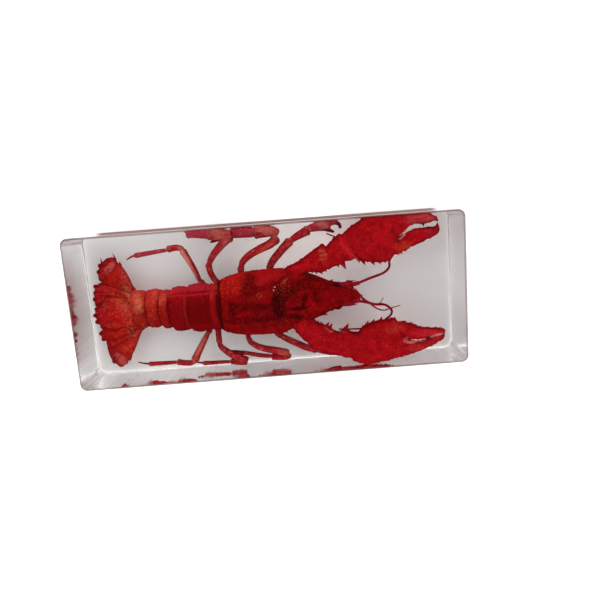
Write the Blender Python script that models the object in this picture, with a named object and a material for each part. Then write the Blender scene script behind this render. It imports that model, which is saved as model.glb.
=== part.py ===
"""A dried crayfish cast in a clear resin block, in metres, lying on the block's largest face with +Z up.

+X runs to the crayfish's head, +Y to its left side. The origin is the middle of the block's bottom face.
"""

import math

import bmesh
import bpy
from mathutils import Vector

# All sizes and places below are in millimetres, turned into metres when a mesh is made.
MM = 0.001

# The clear block
BLOCK_LENGTH = 110.0
BLOCK_WIDTH = 43.0
BLOCK_HEIGHT = 27.0
CORNER_RADIUS = 2.0
EDGE_EASE = 0.4
PARTING_HEIGHT = 13.5

# The gap between any two pieces, and the room that the pocket leaves around the crayfish
PIECE_GAP = 0.3
CLEARANCE = 0.4

# How many corners a cross-section has
BODY_SIDES = 20
RING_SIDES = 16
CLAW_SIDES = 14

# The body's middle line, and how far from it a section's sweep is stated
BODY_MIDDLE = -1.8
SWEEP_REACH = 7.0

# How square a cross-section is: 1 is an ellipse, lower values fill its corners
BACK_FULLNESS = 0.9
BELLY_FULLNESS = 0.75

# Colour, roughness and metallic value of each material
FINISHES = {
    "clear_resin": ((0.92, 0.91, 0.89), 0.04, 0.0),
    "carapace_shell": ((0.42, 0.02, 0.02), 0.35, 0.0),
    "abdomen_shell": ((0.33, 0.03, 0.02), 0.35, 0.0),
    "tail_fan_shell": ((0.50, 0.08, 0.03), 0.40, 0.0),
    "claw_shell": ((0.34, 0.01, 0.02), 0.45, 0.0),
    "leg_shell": ((0.38, 0.06, 0.06), 0.40, 0.0),
    "feeler": ((0.32, 0.03, 0.04), 0.45, 0.0),
    "eye_black": ((0.01, 0.01, 0.01), 0.15, 0.0),
}


def clear_scene():
    for old in list(bpy.data.objects):
        bpy.data.objects.remove(old)


def finish_material(name):
    """The named material, made the first time that a piece asks for it."""
    material = bpy.data.materials.get(name)
    if material:
        return material
    colour, roughness, metallic = FINISHES[name]
    material = bpy.data.materials.new(name)
    material.use_nodes = True
    shader = material.node_tree.nodes["Principled BSDF"]
    shader.inputs["Base Color"].default_value = (*colour, 1.0)
    shader.inputs["Roughness"].default_value = roughness
    shader.inputs["Metallic"].default_value = metallic
    return material


def add_piece(name, bm, material, smooth=True):
    """Closes the mesh data into one named object, its coordinates turned from millimetres into metres."""
    bmesh.ops.scale(bm, vec=(MM, MM, MM), verts=bm.verts)
    bmesh.ops.recalc_face_normals(bm, faces=bm.faces)
    mesh = bpy.data.meshes.new(name)
    bm.to_mesh(mesh)
    bm.free()
    if smooth:
        mesh.shade_smooth()
        mesh.set_sharp_from_angle(angle=math.radians(40))
    piece = bpy.data.objects.new(name, mesh)
    bpy.context.scene.collection.objects.link(piece)
    mesh.materials.append(finish_material(material))
    return piece


def make_guide(piece):
    """Keeps an object as a cutter that neither shows nor counts as a piece."""
    piece.hide_render = True
    piece.display_type = "WIRE"
    return piece


def cut_by(piece, cutter):
    modifier = piece.modifiers.new("cut_by_" + cutter.name, "BOOLEAN")
    modifier.operation = "DIFFERENCE"
    modifier.solver = "EXACT"
    modifier.object = cutter


def superellipse(angle, fullness):
    """A point on the unit cross-section; a fullness below 1 squares it off."""
    across = math.copysign(abs(math.cos(angle)) ** fullness, math.cos(angle))
    up = math.copysign(abs(math.sin(angle)) ** fullness, math.sin(angle))
    return across, up


def section_points(section, sides):
    """One cross-section, spanned between a left and a right edge point.

    A section is (left x, left y, right x, right y, height of the widest place, rise, sag, sweep). The sweep
    is how far a plate's curved edge leads, at SWEEP_REACH from the body's middle line.
    """
    left_x, left_y, right_x, right_y, height, rise, sag, sweep = section
    middle = Vector(((left_x + right_x) / 2, (left_y + right_y) / 2, height))
    half = Vector(((left_x - right_x) / 2, (left_y - right_y) / 2, 0.0))
    points = []
    for step in range(sides):
        angle = 2 * math.pi * (step + 0.5) / sides
        above = math.sin(angle) > 0
        across, up = superellipse(angle, BACK_FULLNESS if above else BELLY_FULLNESS)
        point = middle + half * across
        point.x += sweep * ((point.y - BODY_MIDDLE) / SWEEP_REACH) ** 2
        point.z += up * (rise if above else sag)
        points.append(point)
    return points


def loft(sections, sides, first_tip=None, last_tip=None):
    """A closed skin over the sections. A tip is the point that an end runs out to; other ends are flat."""
    bm = bmesh.new()
    rings = []
    for section in sections:
        corners = [bm.verts.new(point) for point in section_points(section, sides)]
        rings.append([bm.edges.new((a, b)) for a, b in zip(corners, corners[1:] + corners[:1])])
    for near, far in zip(rings, rings[1:]):
        bmesh.ops.bridge_loops(bm, edges=near + far)
    for ring, tip in ((rings[0], first_tip), (rings[-1], last_tip)):
        cap = bmesh.ops.contextual_create(bm, geom=ring)["faces"]
        if tip:
            centre = bmesh.ops.poke(bm, faces=cap)["verts"][0]
            centre.co = Vector(tip)
    bmesh.ops.recalc_face_normals(bm, faces=bm.faces)
    return bm


def grow_spines(bm, spines, width=0.45):
    """Pulls a spine out of the face nearest each place. A spine is (x, y, z, its tip's x, y, z)."""
    for x, y, z, tip_x, tip_y, tip_z in spines:
        place = Vector((x, y, z))
        tip = Vector((tip_x, tip_y, tip_z))
        outward = [face for face in bm.faces if face.normal.dot(tip - place) > 0]
        face = min(outward, key=lambda candidate: (candidate.calc_center_median() - place).length)
        bmesh.ops.inset_individual(bm, faces=[face], thickness=width * math.sqrt(face.calc_area()) / 2)
        centre = bmesh.ops.poke(bm, faces=[face])["verts"][0]
        centre.co += tip - place
        bm.normal_update()


# The carapace, from its rear edge to the rostrum. The groove that parts neck from back runs in a V.
# Each row: x, left y, right y, height of the widest place, rise, sag, sweep
CARAPACE_ROWS = [
    (-15.0, 5.0, -8.8, 11.0, 5.0, 3.4, 0.0),
    (-14.2, 6.0, -9.6, 11.0, 5.9, 3.9, 0.0),
    (-12.0, 6.9, -10.6, 11.0, 6.7, 4.3, 0.2),
    (-8.5, 7.8, -11.3, 11.0, 7.3, 4.5, 0.6),
    (-4.5, 8.0, -11.5, 11.0, 7.6, 4.6, 1.2),
    (-1.5, 8.0, -11.4, 11.0, 7.7, 4.6, 2.0),
    (0.4, 7.8, -11.0, 11.0, 7.6, 4.5, 2.4),
    (1.2, 7.4, -10.6, 11.0, 7.0, 4.4, 2.5),
    (2.0, 7.4, -10.5, 11.0, 7.3, 4.4, 2.5),
    (5.0, 7.0, -9.7, 11.2, 7.2, 4.3, 2.4),
    (9.0, 6.1, -8.6, 11.4, 6.8, 4.0, 2.1),
    (13.0, 4.9, -7.3, 11.8, 6.2, 3.5, 1.6),
    (16.5, 3.6, -5.9, 12.6, 5.2, 3.0, 1.0),
    (19.0, 2.3, -4.5, 13.8, 3.8, 2.2, 0.5),
    (21.0, 1.2, -3.2, 15.0, 2.4, 1.4, 0.0),
    (23.6, 0.3, -2.4, 16.0, 1.3, 0.8, 0.0),
]
ROSTRUM_TIP = (26.3, -1.2, 16.7)
# Spines on the flanks of the head and behind the groove: place and tip
CARAPACE_SPINES = [
    (4.0, 7.4, 12.0, 4.8, 7.9, 12.2),
    (3.4, -10.8, 12.0, 4.2, -11.3, 12.2),
    (23.0, 0.5, 16.2, 24.2, 1.1, 16.6),
    (23.0, -2.6, 16.2, 24.2, -3.2, 16.6),
    (17.5, 3.2, 13.2, 18.6, 3.9, 13.6),
    (17.5, -5.6, 13.2, 18.6, -6.3, 13.6),
]


def carapace_mesh():
    sections = [
        (x, left, x, right, height, rise, sag, sweep)
        for x, left, right, height, rise, sag, sweep in CARAPACE_ROWS
    ]
    bm = loft(sections, BODY_SIDES, last_tip=ROSTRUM_TIP)
    grow_spines(bm, CARAPACE_SPINES)
    return bm


def build_carapace():
    return add_piece("carapace", carapace_mesh(), "carapace_shell")


def build_carapace_clearance():
    """The carapace swollen by the piece gap: it trims the limbs that come out from under the shield."""
    bm = carapace_mesh()
    bm.normal_update()
    swell = PIECE_GAP + 0.05
    moves = [vert.normal * swell for vert in bm.verts]
    for vert, move in zip(bm.verts, moves):
        vert.co += move
    return make_guide(add_piece("carapace_clearance", bm, "carapace_shell", smooth=False))


# Where each tail ring begins and the last one ends, and the sweep of the edge there
RING_EDGES = [
    (-15.25, 0.0),
    (-17.8, 0.4),
    (-24.7, 0.9),
    (-30.0, 1.4),
    (-32.7, 1.4),
    (-36.6, 1.2),
    (-40.8, 0.2),
]
# The tail rings. Each row: left y, right y, height of the widest place, rise, sag
RING_ROWS = [
    (4.7, -9.3, 9.8, 5.6, 3.1),
    (5.0, -9.3, 9.6, 5.6, 3.2),
    (4.7, -8.5, 9.4, 5.1, 3.2),
    (4.2, -7.3, 9.2, 4.4, 3.1),
    (4.6, -6.8, 9.0, 3.9, 3.0),
    (4.3, -7.1, 8.8, 3.2, 2.7),
]
# Along a ring: the share of its length from the front, and how far its edge is drawn in there
RING_PROFILE = [(0.0, 0.7), (0.18, 0.25), (0.55, 0.0), (0.86, 0.12), (1.0, 0.5)]
# The points on a ring's flanks: how far down they start and reach
FLANK_DROP = 1.2
FLANK_SPINE = 0.8
# The pair of swimmerets under each of the middle rings: how far apart they grow, and how far they reach
SWIMMERET_RINGS = (2, 3, 4, 5)
SWIMMERET_SPREAD = 2.6
SWIMMERET_REACH = (-2.2, 0.6, -1.6)


def build_abdomen():
    edges = zip(RING_EDGES, RING_EDGES[1:], RING_ROWS)
    for number, ((front, front_sweep), (rear, rear_sweep), row) in enumerate(edges, start=1):
        left, right, height, rise, sag = row
        front -= PIECE_GAP / 2
        rear += PIECE_GAP / 2
        sections = []
        for share, tuck in RING_PROFILE:
            x = front + share * (rear - front)
            sweep = front_sweep + share * (rear_sweep - front_sweep)
            sections.append((x, left - tuck, x, right + tuck, height, rise - tuck / 2, sag - tuck / 2, sweep))
        front_tip = (front, BODY_MIDDLE, height)
        rear_tip = (rear, BODY_MIDDLE, height)
        bm = loft(sections, RING_SIDES, first_tip=front_tip, last_tip=rear_tip)
        flank_x = (front + rear) / 2 + rear_sweep
        flank_z = height - FLANK_DROP
        spines = [
            (flank_x, left, flank_z, flank_x - 0.6, left + 0.2, flank_z - FLANK_SPINE),
            (flank_x, right, flank_z, flank_x - 0.6, right - 0.2, flank_z - FLANK_SPINE),
        ]
        grow_spines(bm, spines, width=0.2)
        if number in SWIMMERET_RINGS:
            back, out, down = SWIMMERET_REACH
            for side in (1, -1):
                root = ((front + rear) / 2, BODY_MIDDLE + side * SWIMMERET_SPREAD, height - sag)
                tip = (root[0] + back, root[1] + side * out, root[2] + down)
                grow_spines(bm, [(*root, *tip)], width=0.2)
        add_piece(f"abdomen_segment_{number}", bm, "abdomen_shell")


# The tail fan's plates, seen from above, with the height of each plate's middle
TELSON_OUTLINE = [
    (-41.3, 1.9), (-44.5, 2.6), (-47.4, 2.8), (-48.2, 2.3), (-50.6, 1.7), (-52.1, 0.3),
    (-52.9, -2.4), (-52.3, -4.9), (-51.0, -6.0), (-48.6, -6.0), (-47.8, -6.5), (-44.5, -6.6), (-41.3, -6.2),
]
INNER_LEFT_OUTLINE = [
    (-41.2, 1.6), (-41.2, 3.9), (-44.0, 5.6), (-46.9, 6.7), (-49.6, 7.1), (-51.7, 6.4), (-52.5, 4.5),
    (-52.6, 2.4), (-51.6, 0.9), (-47.0, 0.9),
]
OUTER_LEFT_OUTLINE = [
    (-40.9, 2.8), (-40.6, 5.2), (-41.2, 8.2), (-42.4, 11.2), (-43.6, 13.6), (-44.6, 15.1), (-46.2, 15.4),
    (-48.3, 14.3), (-49.7, 12.4), (-50.4, 9.9), (-49.6, 7.9), (-48.2, 5.6), (-44.5, 3.4),
]
INNER_RIGHT_OUTLINE = [
    (-41.2, -6.0), (-41.2, -7.6), (-43.2, -9.8), (-46.3, -11.7), (-49.4, -12.6), (-51.2, -11.0),
    (-52.0, -8.6), (-51.7, -6.0), (-50.5, -5.2), (-46.0, -5.2),
]
OUTER_RIGHT_OUTLINE = [
    (-40.8, -6.8), (-40.2, -9.4), (-41.2, -12.4), (-42.8, -15.3), (-44.4, -17.5), (-46.4, -19.0),
    (-47.4, -19.5), (-48.9, -17.5), (-50.0, -14.8), (-50.6, -12.2), (-50.4, -10.0), (-46.0, -8.2),
]
FAN_PLATES = {
    "telson": (TELSON_OUTLINE, 9.3),
    "uropod_inner_left": (INNER_LEFT_OUTLINE, 8.1),
    "uropod_outer_left": (OUTER_LEFT_OUTLINE, 6.9),
    "uropod_inner_right": (INNER_RIGHT_OUTLINE, 8.1),
    "uropod_outer_right": (OUTER_RIGHT_OUTLINE, 6.9),
}
PLATE_THICKNESS = 0.6
PLATE_RIM = 0.9
PLATE_CROWN = 0.25


def build_tail_fan():
    """Thin plates, laid one under the next, each with a rim and a slightly raised field."""
    for name, (outline, height) in FAN_PLATES.items():
        bm = bmesh.new()
        corners = [bm.verts.new((x, y, height - PLATE_THICKNESS / 2)) for x, y in outline]
        base = bm.faces.new(corners)
        top = bmesh.ops.extrude_face_region(bm, geom=[base])["geom"]
        top_verts = [item for item in top if isinstance(item, bmesh.types.BMVert)]
        top_faces = [item for item in top if isinstance(item, bmesh.types.BMFace)]
        bmesh.ops.translate(bm, vec=(0.0, 0.0, PLATE_THICKNESS), verts=top_verts)
        bmesh.ops.recalc_face_normals(bm, faces=bm.faces)
        bmesh.ops.inset_region(bm, faces=top_faces, thickness=PLATE_RIM, depth=PLATE_CROWN)
        add_piece(name, bm, "tail_fan_shell")


# The claws. Each row: outer x, outer y, inner x, inner y, height of the widest place, half thickness
LEFT_ARM_ROWS = [
    (2.6, 5.6, 6.8, 3.4, 10.8, 1.8),
    (6.0, 8.5, 9.6, 5.2, 12.0, 2.2),
    (9.5, 10.4, 12.4, 5.8, 13.4, 2.7),
    (12.8, 12.3, 14.8, 6.3, 14.6, 3.0),
    (14.9, 13.5, 16.0, 6.9, 15.4, 2.7),
]
LEFT_WRIST_ROWS = [
    (15.4, 13.8, 16.5, 7.0, 15.8, 2.6),
    (17.4, 15.0, 18.8, 7.0, 16.8, 3.2),
    (19.2, 15.9, 21.2, 7.8, 17.5, 3.4),
    (20.6, 16.5, 22.8, 9.2, 17.9, 2.9),
]
LEFT_PALM_ROWS = [
    (21.2, 16.8, 23.4, 9.4, 18.1, 2.9),
    (22.9, 17.9, 25.0, 9.0, 18.4, 3.6),
    (25.6, 19.6, 28.0, 8.3, 18.6, 4.0),
    (29.0, 20.7, 31.4, 8.1, 18.8, 4.1),
    (33.0, 20.9, 34.6, 8.4, 18.9, 3.9),
    (36.4, 20.9, 36.4, 10.0, 19.0, 3.4),
    (38.4, 20.9, 38.2, 16.0, 19.0, 2.7),
    (41.5, 20.9, 41.3, 17.6, 19.0, 2.2),
    (44.7, 20.6, 44.6, 18.0, 18.9, 1.7),
    (47.0, 20.0, 46.9, 18.7, 18.8, 1.1),
]
LEFT_PALM_TIP = (48.7, 19.1, 18.7)
LEFT_FINGER_ROWS = [
    (37.9, 14.0, 37.2, 10.4, 18.8, 2.3),
    (40.2, 15.5, 39.8, 11.5, 18.9, 2.4),
    (43.4, 16.6, 43.0, 13.1, 18.9, 2.0),
    (46.6, 16.9, 46.8, 14.3, 18.8, 1.5),
    (48.2, 16.9, 48.4, 15.5, 18.7, 0.9),
]
LEFT_FINGER_TIP = (48.9, 16.4, 18.7)
RIGHT_ARM_ROWS = [
    (2.4, -8.6, 6.2, -4.8, 10.8, 1.9),
    (6.2, -10.6, 8.9, -6.6, 12.0, 2.3),
    (9.2, -13.4, 11.8, -8.0, 13.2, 2.8),
    (12.4, -16.2, 14.6, -9.4, 14.3, 3.1),
    (15.8, -17.6, 16.8, -10.2, 15.0, 2.7),
]
RIGHT_WRIST_ROWS = [
    (16.7, -17.8, 17.7, -10.8, 15.5, 2.6),
    (18.9, -18.9, 19.8, -10.8, 16.3, 3.3),
    (21.3, -19.6, 22.4, -11.1, 17.0, 3.4),
    (22.9, -19.8, 24.0, -12.0, 17.5, 2.8),
]
RIGHT_PALM_ROWS = [
    (23.7, -20.0, 24.9, -12.2, 17.8, 2.8),
    (25.8, -20.7, 26.8, -10.1, 18.0, 3.7),
    (28.8, -20.95, 29.7, -9.0, 18.2, 4.1),
    (32.4, -20.8, 32.5, -8.5, 18.4, 4.2),
    (35.6, -20.1, 35.2, -8.7, 18.5, 3.9),
    (38.0, -19.5, 36.9, -9.7, 18.6, 3.5),
    (40.3, -18.9, 38.2, -14.7, 18.7, 2.7),
    (42.8, -18.1, 41.2, -15.2, 18.7, 2.2),
    (45.4, -17.1, 44.6, -15.1, 18.7, 1.7),
    (47.8, -15.9, 47.3, -14.8, 18.7, 1.1),
]
RIGHT_PALM_TIP = (49.4, -14.8, 18.7)
RIGHT_FINGER_ROWS = [
    (38.7, -13.9, 38.0, -9.9, 18.7, 2.4),
    (41.2, -14.4, 41.2, -10.7, 18.7, 2.3),
    (44.4, -14.4, 44.6, -11.7, 18.7, 1.9),
    (47.2, -14.2, 47.5, -12.4, 18.7, 1.3),
    (48.6, -13.9, 48.8, -12.7, 18.7, 0.9),
]
RIGHT_FINGER_TIP = (49.7, -13.3, 18.7)
# The spines on the claws: place and tip
LEFT_ARM_SPINES = [
    (11.0, 5.5, 12.7, 11.7, 4.7, 12.9),
    (13.6, 6.0, 14.0, 14.4, 5.1, 14.2),
    (15.4, 6.6, 15.0, 16.2, 5.8, 15.2),
    (13.8, 12.8, 15.5, 14.1, 13.9, 15.9),
]
LEFT_WRIST_SPINES = [
    (17.6, 7.0, 16.3, 18.4, 6.0, 16.5),
    (20.0, 7.4, 17.1, 21.3, 5.9, 17.3),
    (22.0, 8.5, 17.7, 23.0, 7.2, 17.8),
    (18.3, 15.4, 17.4, 18.9, 16.4, 17.8),
    (20.4, 12.0, 20.5, 21.5, 12.2, 21.3),
]
LEFT_PALM_SPINES = [
    (24.2, 9.4, 18.4, 24.9, 8.3, 18.6),
    (26.5, 8.8, 18.5, 27.4, 7.6, 18.7),
    (29.0, 8.2, 18.7, 30.1, 7.2, 18.9),
    (31.6, 8.2, 18.8, 32.7, 7.2, 19.0),
    (34.0, 8.4, 18.9, 35.2, 7.6, 19.0),
]
RIGHT_ARM_SPINES = [
    (10.3, -7.2, 12.9, 10.9, -6.2, 13.1),
    (13.3, -8.8, 13.9, 13.9, -7.8, 14.2),
    (15.8, -9.8, 14.8, 16.6, -8.7, 15.0),
    (13.9, -16.8, 14.9, 14.5, -17.8, 15.2),
]
RIGHT_WRIST_SPINES = [
    (21.2, -10.9, 16.8, 22.3, -9.2, 17.0),
    (19.0, -10.8, 16.1, 19.9, -9.8, 16.3),
    (20.2, -19.2, 16.7, 20.9, -20.2, 16.9),
    (21.6, -15.2, 20.0, 22.7, -15.2, 20.8),
]
RIGHT_PALM_SPINES = [
    (26.0, -11.0, 17.9, 26.7, -9.6, 18.1),
    (28.2, -9.5, 18.1, 29.1, -8.2, 18.3),
    (31.1, -8.7, 18.3, 32.2, -7.5, 18.5),
    (33.8, -8.6, 18.5, 34.9, -7.5, 18.6),
    (36.0, -9.2, 18.6, 37.1, -8.3, 18.7),
]
CLAW_PARTS = {
    "claw_arm_left": (LEFT_ARM_ROWS, None, LEFT_ARM_SPINES),
    "claw_wrist_left": (LEFT_WRIST_ROWS, None, LEFT_WRIST_SPINES),
    "claw_palm_left": (LEFT_PALM_ROWS, LEFT_PALM_TIP, LEFT_PALM_SPINES),
    "claw_finger_left": (LEFT_FINGER_ROWS, LEFT_FINGER_TIP, []),
    "claw_arm_right": (RIGHT_ARM_ROWS, None, RIGHT_ARM_SPINES),
    "claw_wrist_right": (RIGHT_WRIST_ROWS, None, RIGHT_WRIST_SPINES),
    "claw_palm_right": (RIGHT_PALM_ROWS, RIGHT_PALM_TIP, RIGHT_PALM_SPINES),
    "claw_finger_right": (RIGHT_FINGER_ROWS, RIGHT_FINGER_TIP, []),
}


def build_claws(clearance):
    for name, (rows, tip, spines) in CLAW_PARTS.items():
        sections = [
            (outer_x, outer_y, inner_x, inner_y, height, half, half, 0.0)
            for outer_x, outer_y, inner_x, inner_y, height, half in rows
        ]
        bm = loft(sections, CLAW_SIDES, last_tip=tip)
        grow_spines(bm, spines)
        piece = add_piece(name, bm, "claw_shell")
        if name.startswith("claw_arm"):
            cut_by(piece, clearance)


# The walking legs, front to rear, from the body out to the tip. Each point: x, y, z, radius
LEG_ROUTES = {
    "leg_1_left": [
        (-1.0, 3.8, 8.0, 1.0), (-0.1, 7.4, 9.0, 1.1), (3.3, 12.3, 10.4, 0.9), (6.9, 15.9, 11.6, 0.8),
        (9.5, 17.5, 11.6, 1.1), (12.3, 18.7, 11.2, 1.6), (16.2, 19.0, 10.6, 1.6),
        (19.2, 19.5, 10.0, 0.8), (21.8, 18.3, 9.4, 0.3),
    ],
    "leg_2_left": [
        (-7.3, 3.7, 7.5, 0.9), (-7.7, 8.0, 8.4, 0.9), (-5.0, 11.4, 9.5, 0.8), (-0.3, 14.6, 10.8, 0.9),
        (2.6, 16.8, 11.6, 1.0), (3.0, 18.4, 11.6, 1.3), (0.4, 18.8, 11.0, 2.0), (-3.2, 18.9, 10.0, 1.9),
        (-7.6, 18.9, 8.8, 1.4), (-10.6, 18.4, 7.4, 1.0), (-14.6, 17.6, 6.3, 0.6),
        (-16.7, 16.7, 5.9, 0.2),
    ],
    "leg_3_left": [
        (-12.6, 2.5, 7.5, 0.8), (-14.5, 6.2, 8.0, 0.8), (-16.2, 8.4, 8.8, 0.8), (-16.8, 10.8, 9.6, 0.8),
        (-13.7, 13.9, 10.8, 0.9), (-10.6, 16.9, 11.8, 1.0), (-10.6, 18.3, 11.8, 1.3),
        (-12.6, 18.8, 11.0, 2.0), (-15.6, 19.1, 10.2, 1.6), (-19.0, 19.4, 9.5, 1.2),
        (-22.9, 19.9, 9.0, 0.7),
    ],
    "leg_4_left": [
        (-15.2, 0.5, 5.2, 0.7), (-19.6, 3.4, 5.0, 0.7), (-21.4, 6.6, 6.6, 0.8), (-23.4, 11.2, 8.8, 0.9),
        (-25.2, 15.2, 10.2, 0.9), (-27.0, 16.2, 10.1, 0.9), (-29.5, 15.9, 9.5, 0.8),
        (-33.9, 15.3, 8.3, 0.6), (-38.8, 14.9, 7.0, 0.5), (-41.7, 13.8, 6.4, 0.15),
    ],
    "leg_1_right": [
        (-0.2, -8.4, 8.0, 1.0), (1.5, -11.4, 9.0, 1.0), (6.4, -14.8, 9.6, 0.9),
        (10.8, -16.9, 10.0, 0.9), (15.3, -18.2, 10.0, 0.9), (21.0, -17.9, 10.0, 1.2),
        (27.1, -17.6, 9.6, 1.1), (31.7, -17.5, 9.0, 0.3),
    ],
    "leg_2_right": [
        (-6.9, -9.1, 7.5, 0.9), (-7.3, -12.0, 8.5, 0.8), (-5.4, -14.2, 9.5, 0.8),
        (-0.9, -16.2, 10.8, 1.0), (3.2, -17.4, 11.6, 1.3), (5.0, -18.4, 10.6, 1.1),
        (3.2, -19.0, 9.2, 1.0), (-1.0, -18.9, 8.6, 1.0), (-5.2, -18.3, 8.2, 0.8),
        (-9.6, -17.5, 7.8, 0.7), (-12.8, -16.8, 7.5, 0.2),
    ],
    "leg_3_right": [
        (-12.6, -7.3, 7.5, 0.8), (-14.5, -10.5, 8.2, 0.8), (-16.1, -12.4, 9.0, 0.8),
        (-16.3, -14.2, 9.9, 0.8), (-13.0, -16.4, 10.8, 1.1), (-9.2, -18.5, 11.2, 1.3),
        (-8.0, -19.4, 9.8, 1.0), (-10.6, -19.6, 8.4, 0.9), (-13.5, -19.4, 7.8, 0.8),
        (-18.1, -19.3, 7.2, 0.7), (-23.0, -19.4, 6.8, 0.3),
    ],
    "leg_4_right": [
        (-14.6, -4.0, 5.2, 0.7), (-18.6, -7.4, 5.0, 0.7), (-20.2, -10.6, 6.6, 0.8),
        (-22.0, -14.3, 8.8, 0.9), (-24.3, -17.6, 10.2, 0.9), (-26.3, -18.6, 10.1, 0.9),
        (-29.5, -18.5, 9.5, 0.9), (-34.0, -18.5, 8.3, 0.6), (-38.7, -18.4, 7.0, 0.5),
        (-41.4, -17.6, 6.4, 0.15),
    ],
}
# The second finger of the pincers on the first two legs of each side: the place it grows from and its tip
PINCERS = {
    "leg_1_left": (18.6, 18.3, 10.2, 19.9, 17.4, 10.0),
    "leg_2_left": (-12.4, 17.4, 6.6, -14.4, 16.4, 6.2),
    "leg_1_right": (29.0, -17.0, 9.4, 31.2, -16.5, 9.2),
    "leg_2_right": (-10.4, -16.7, 7.8, -12.2, -15.9, 7.6),
}
# How far the pocket reaches out around a pincer's second finger
PINCER_ROOM = 1.2
# The feelers, from the head forward and back along the claws
FEELER_ROUTES = {
    "antenna_left": [
        (17.0, 3.0, 12.0, 1.0), (20.4, 2.2, 13.0, 1.3), (23.6, 1.7, 13.5, 1.3), (25.6, 1.9, 13.8, 0.8),
        (26.8, 2.4, 13.9, 0.35), (29.3, 3.2, 13.8, 0.35), (33.1, 4.3, 13.5, 0.32),
        (34.8, 5.5, 13.2, 0.32), (35.3, 7.0, 12.9, 0.3), (34.4, 9.2, 12.7, 0.3),
        (29.9, 12.2, 12.4, 0.28), (24.3, 14.6, 12.2, 0.26), (20.2, 15.8, 12.0, 0.24),
        (17.6, 17.0, 12.6, 0.2),
    ],
    "antenna_right": [
        (17.0, -5.2, 12.0, 1.0), (20.4, -4.2, 13.0, 1.3), (23.2, -3.5, 13.5, 1.2),
        (25.2, -3.2, 13.8, 0.8), (27.2, -3.6, 13.9, 0.35), (30.4, -4.6, 13.8, 0.35),
        (33.1, -4.9, 13.5, 0.32), (34.9, -6.2, 13.2, 0.32), (35.3, -7.7, 12.9, 0.3),
        (33.9, -9.2, 12.7, 0.3), (30.2, -11.3, 12.4, 0.28), (26.1, -11.8, 12.2, 0.26),
        (22.5, -11.7, 12.1, 0.24), (19.4, -11.5, 11.9, 0.2),
    ],
    "antennule_left": [
        (24.8, 0.0, 14.4, 0.4), (26.6, 0.1, 14.4, 0.3), (29.0, -0.6, 14.4, 0.25),
        (31.6, -1.4, 14.3, 0.2), (32.7, -2.4, 14.3, 0.15),
    ],
    "antennule_right": [
        (24.8, -1.5, 14.4, 0.4), (26.8, -2.0, 14.8, 0.3), (29.3, -3.7, 15.0, 0.25),
        (31.8, -5.6, 15.0, 0.25), (33.9, -6.3, 15.0, 0.2), (35.2, -5.9, 15.0, 0.2),
        (37.5, -5.4, 15.0, 0.15),
    ],
}
LEG_SIDES = 8
FEELER_SIDES = 6


def limb_mesh(route, sides):
    """A closed round limb along a route, each cross-section square to the way the route runs there."""
    bm = bmesh.new()
    places = [Vector((x, y, z)) for x, y, z, radius in route]
    rings = []
    for step, (place, (_, _, _, radius)) in enumerate(zip(places, route)):
        before = places[max(step - 1, 0)]
        after = places[min(step + 1, len(places) - 1)]
        along = (after - before).normalized()
        side = along.cross(Vector((0.0, 0.0, 1.0))).normalized()
        up = side.cross(along)
        corners = []
        for turn in range(sides):
            angle = 2 * math.pi * (turn + 0.5) / sides
            corners.append(bm.verts.new(place + radius * (math.cos(angle) * side + math.sin(angle) * up)))
        rings.append([bm.edges.new((a, b)) for a, b in zip(corners, corners[1:] + corners[:1])])
    for near, far in zip(rings, rings[1:]):
        bmesh.ops.bridge_loops(bm, edges=near + far)
    for ring in (rings[0], rings[-1]):
        bmesh.ops.contextual_create(bm, geom=ring)
    return bm


def build_limbs(clearance):
    for name, route in LEG_ROUTES.items():
        bm = limb_mesh(route, LEG_SIDES)
        if name in PINCERS:
            bm.normal_update()
            grow_spines(bm, [PINCERS[name]], width=0.2)
        cut_by(add_piece(name, bm, "leg_shell"), clearance)
    for name, route in FEELER_ROUTES.items():
        cut_by(add_piece(name, limb_mesh(route, FEELER_SIDES), "feeler"), clearance)


# The eyes, under the edges of the rostrum: the centre and the radius of each
EYES = {
    "eye_left": (19.6, 2.6, 15.9),
    "eye_right": (19.6, -5.0, 15.9),
}
EYE_RADIUS = 1.1


def build_eyes(clearance):
    for name, centre in EYES.items():
        bm = bmesh.new()
        bmesh.ops.create_uvsphere(bm, u_segments=10, v_segments=6, radius=EYE_RADIUS)
        bmesh.ops.translate(bm, vec=centre, verts=bm.verts)
        cut_by(add_piece(name, bm, "eye_black"), clearance)


# The pocket: straight-walled recesses that follow the crayfish, all open at the parting plane.
# Each row: the outline seen from above, then the recess's lowest and highest point
BODY_RECESS = [
    (27.0, -1.2), (24.6, -5.2), (20.0, -7.8), (12.0, -10.4), (6.0, -12.2), (-8.0, -12.4), (-15.0, -10.8),
    (-25.0, -10.2), (-31.0, -9.0), (-36.0, -8.0), (-41.0, -8.2), (-41.0, 5.6), (-36.0, 5.6), (-30.0, 5.4),
    (-25.0, 5.8), (-15.0, 6.0), (-8.0, 8.8), (6.0, 8.6), (12.0, 7.4), (20.0, 5.6), (24.6, 4.4),
]
FAN_RECESS = [
    (-40.0, 6.0), (-40.4, 9.0), (-42.8, 13.8), (-44.2, 15.8), (-46.4, 16.2), (-48.8, 15.0), (-50.4, 12.8),
    (-51.2, 9.0), (-53.0, 6.6), (-53.4, 0.0), (-53.4, -3.0), (-52.6, -9.0), (-51.4, -12.6), (-49.6, -17.8),
    (-47.6, -20.4), (-45.6, -19.6), (-42.0, -15.8), (-40.0, -12.0), (-39.4, -8.4),
]
LEFT_CLAW_RECESS = [
    (3.0, 4.0), (12.0, 4.2), (18.2, 5.0), (22.4, 5.5), (33.0, 6.6), (36.6, 8.2), (42.0, 11.8), (48.0, 13.4),
    (49.6, 16.4), (49.2, 19.8), (46.0, 21.2), (28.0, 21.2), (20.0, 17.6), (13.0, 14.4), (3.0, 8.8),
]
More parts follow.
